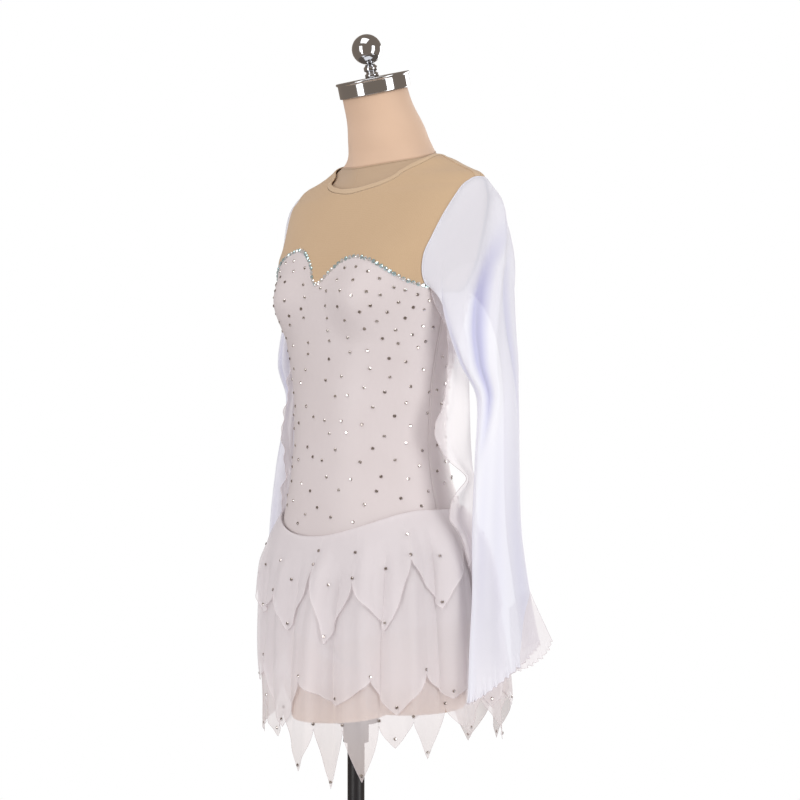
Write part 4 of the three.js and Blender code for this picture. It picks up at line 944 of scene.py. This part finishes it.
for side, word in ((1, "left"), (-1, "right")):
    along, down = np.linspace(0, 1, 301)[None, :], np.linspace(0, 1, 150)[:, None]
    points = sleeve(side, along, down)
    flip = slice(None, None, -1) if side > 0 else slice(None)
    piece = grid_object(f"sleeve_{word}_chiffon", points[:, flip], sleeve_chiffon)
    # The depth of each fold sets how much painted shade tints the cloth lilac-grey there.
    painted_fold_shade = sleeve_folds(along, points[..., 2]) * smooth(down / CAP_SHARE)
    depth = piece.data.attributes.new("painted_fold_shade", "FLOAT", "POINT")
    depth.data.foreach_set("value", np.clip(painted_fold_shade / FOLD_SHADE_DEPTH, 0, 1)[:, flip].ravel())
    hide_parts(f"sleeve_{word}")
    hem = points[-1]
    turned_out = np.cross(np.gradient(hem, axis=0), [0, 0, -1.0]) * -side
    turned_out /= np.linalg.norm(turned_out, axis=1, keepdims=True)
    for name, line, normal, radius, cloth in [
        (f"sleeve_{word}_rolled_hem", hem, turned_out, 0.8, rolled_hem),
        (f"sleeve_{word}_front_edge", points[:, 0], [side, 0, 0], 0.6, rolled_hem),
        (f"sleeve_{word}_back_edge", points[:, -1], [side, 0, 0], 0.6, rolled_hem),
        (f"armhole_seam_{word}", points[0], [side, 0, 0.3], 1.2, sleeve_chiffon),
    ]:
        seam_cord(name, line, normal, radius, cloth)
    along = np.linspace(CORNER_FROM, CORNER_TO, 121)[None, :]
    down = np.linspace(CORNER_TOP, 1, 40)[:, None]
    points = hem_corner(side, along, down)
    piece = grid_object(f"sleeve_{word}_hem_corner", points[:, flip], chiffon)
    edges = np.concatenate([points[-1], points[-2::-1, -1]])
    cord = seam_cord(f"sleeve_{word}_corner_edge", edges, [side * 0.7, -0.7, 0], 0.4, rolled_hem)
    along, down = np.linspace(0, 1, 33)[None, :], np.linspace(0, 1, 220)[:, None]
    points = flounce(side, along, down)
    piece = grid_object(f"sleeve_flounce_{word}_chiffon", points[:, flip], chiffon)
    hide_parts(f"sleeve_flounce_{word}")
    cord = seam_cord(f"flounce_{word}_rolled_edge", points[:, 0], [side, 0, 0], 0.6, rolled_hem)

# ---- Rhinestones ----
# Foil-backed glass stones, ironed on: a close row of 6.4 mm with an iridescent coat along the top edge
# of the bodice, clear ones of 5 mm scattered below it and at the tips and notches of the leaves.

TRIM_SPACING, TRIM_SIZE, STONE_SIZE = 7.4, 6.4, 5
SCATTER_NEAREST, SCATTER_WIDEST, SCATTER_LENGTH = 19, 34, 420


def stone_material(name, first, second, third, mirror):
    """Faceted glass on foil: a mirror whose tint changes from stone to stone."""
    material, tree, shader = new_material(name)
    place = node(tree, "ShaderNodeTexCoord")
    cell = node(tree, "ShaderNodeTexVoronoi", Vector=place.outputs["Object"], Scale=160.0)
    value = node(tree, "ShaderNodeSeparateColor", Color=cell.outputs["Color"])
    ramp = node(tree, "ShaderNodeValToRGB", Fac=value.outputs[0])
    ramp.color_ramp.elements[0].color, ramp.color_ramp.elements[1].color = linear(first), linear(third)
    ramp.color_ramp.elements.new(0.5).color = linear(second)
    ramp.color_ramp.interpolation = "CONSTANT"
    tree.links.new(ramp.outputs[0], shader.inputs["Base Color"])
    shader.inputs["Metallic"].default_value = mirror
    shader.inputs["Roughness"].default_value = 0.08
    return material


clear_glass = stone_material("foil_backed_clear_glass", "#b4aca8", "#e6e2e0", "#ffffff", 0.9)
coated_glass = stone_material("foil_backed_iridescent_glass", "#c6e0e4", "#ffffff", "#dcd2e4", 0.7)
chance = np.random.default_rng(20)


def stones(name, places, facing, size, material):
    """One mesh of all the stones: for each, a ring of eight on the cloth, a smaller ring above it and
    a flat table, turned by chance about the cloth's normal and tilted a little."""
    count = len(places)
    facing = facing + chance.normal(0, 0.07, facing.shape)
    facing /= np.linalg.norm(facing, axis=1, keepdims=True)
    beside = np.cross(facing, [0.0, 0.0, 1.0] + 0 * facing)
    beside /= np.linalg.norm(beside, axis=1, keepdims=True)
    above = np.cross(facing, beside)
    angle = np.radians(np.arange(8) * 45)[None, :] + chance.uniform(0, np.pi / 4, (count, 1))
    ring = np.cos(angle)[..., None] * beside[:, None] + np.sin(angle)[..., None] * above[:, None]
    levels = [(0.5, 0.0), (0.5, 0.1), (0.28, 0.3)]
    points = np.concatenate([places[:, None] + ring * reach * size + facing[:, None] * rise * size
                             for reach, rise in levels], axis=1)
    base = (np.arange(count) * 24)[:, None, None]
    i, j = np.arange(8), (np.arange(8) + 1) % 8
    side = np.concatenate([np.stack([i + k, j + k, j + k + 8, i + k + 8], 1) for k in (0, 8)])
    quads = (side[None] + base).reshape(-1, 4)
    tables = (np.arange(16, 24)[None] + base[:, 0]).tolist()
    floors = (np.arange(7, -1, -1)[None] + base[:, 0]).tolist()
    mesh = bpy.data.meshes.new(name)
    mesh.from_pydata((points.reshape(-1, 3) / 1000).tolist(), [], quads.tolist() + tables + floors)
    mesh.materials.append(material)
    made = bpy.data.objects.new(name, mesh)
    bpy.context.scene.collection.objects.link(made)
    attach(made, "root")
    return made


def walk(points, facing, spacing):
    """Points at even distances along a line, by its summed length, with their normals."""
    length = np.concatenate([[0], np.linalg.norm(np.diff(points, axis=0), axis=1).cumsum()])
    at = np.arange(spacing / 2, length[-1], spacing)
    pick = lambda values: np.stack([np.interp(at, length, values[:, k]) for k in range(3)], 1)
    return pick(points), pick(facing)


for name, edge, first, last, count in [
    ("trim_row_front", front_edge, -front_turn - 3, front_turn + 3, 400),
    ("trim_row_back", back_edge, back_turn - 3, 363 - back_turn, 300),
]:
    turn = np.linspace(first, last, count)
    z = edge(turn)
    places, facing = walk(on_body(turn, z, LYCRA_OUT + 0.1), body_normals(turn, z), TRIM_SPACING)
    stones(name, places, facing, TRIM_SIZE, coated_glass)


def scatter(top, bottom, turns_from, turns_to):
    """Staggered rows of places below an edge, whose spacing grows downwards, each moved by chance."""
    places, drop, row = [], SCATTER_NEAREST * 0.75, 0
    while drop < SCATTER_LENGTH:
        gap = SCATTER_NEAREST + (SCATTER_WIDEST - SCATTER_NEAREST) * min(1, drop / 150)
        step = gap / 2.1
        turn = np.arange(turns_from + step * (0.25 + 0.5 * (row % 2)), turns_to, step)
        turn = turn + chance.normal(0, step * 0.1, len(turn))
        z = top(turn) - drop + chance.normal(0, gap * 0.1, len(turn))
        keep = z > bottom(turn) + 9
        places.append(np.stack([turn[keep], z[keep]], 1))
        drop, row = drop + gap * 0.82, row + 1
    return np.concatenate(places)


for name, edge, first, last in [
    ("scattered_stones_front", front_edge, -88, 88),
    ("scattered_stones_back", back_edge, 92, 268),
]:
    turn, z = scatter(edge, waist_seam, first, last).T
    stones(name, on_body(turn, z, LYCRA_OUT + 0.05), body_normals(turn, z), STONE_SIZE, clear_glass)

for (word, half), (points, facing, turns) in skirt_layers.items():
    marks = leaf_marks(LEAVES[word])
    inside = (marks[0] > turns[0] + 2) & (marks[0] < turns[-1] - 2)
    column = np.searchsorted(turns, marks[0][inside])
    height = points[:, column, 2]
    rise = np.where(marks[2][inside], 11, 7)
    row = np.abs(height - height[0] - rise).argmin(0)
    mid = np.abs(height - height[0] - 0.55 * (height[-1] - height[0])).argmin(0)
    if word == "upper":  # this layer has stones half way up its leaves too
        row, column = np.concatenate([row, mid]), np.concatenate([column, column])
    facing = facing[row, column]
    stones(f"leaf_stones_{word}_{half}", points[row, column] + facing * 0.3, facing, STONE_SIZE, clear_glass)

bpy.context.view_layer.update()
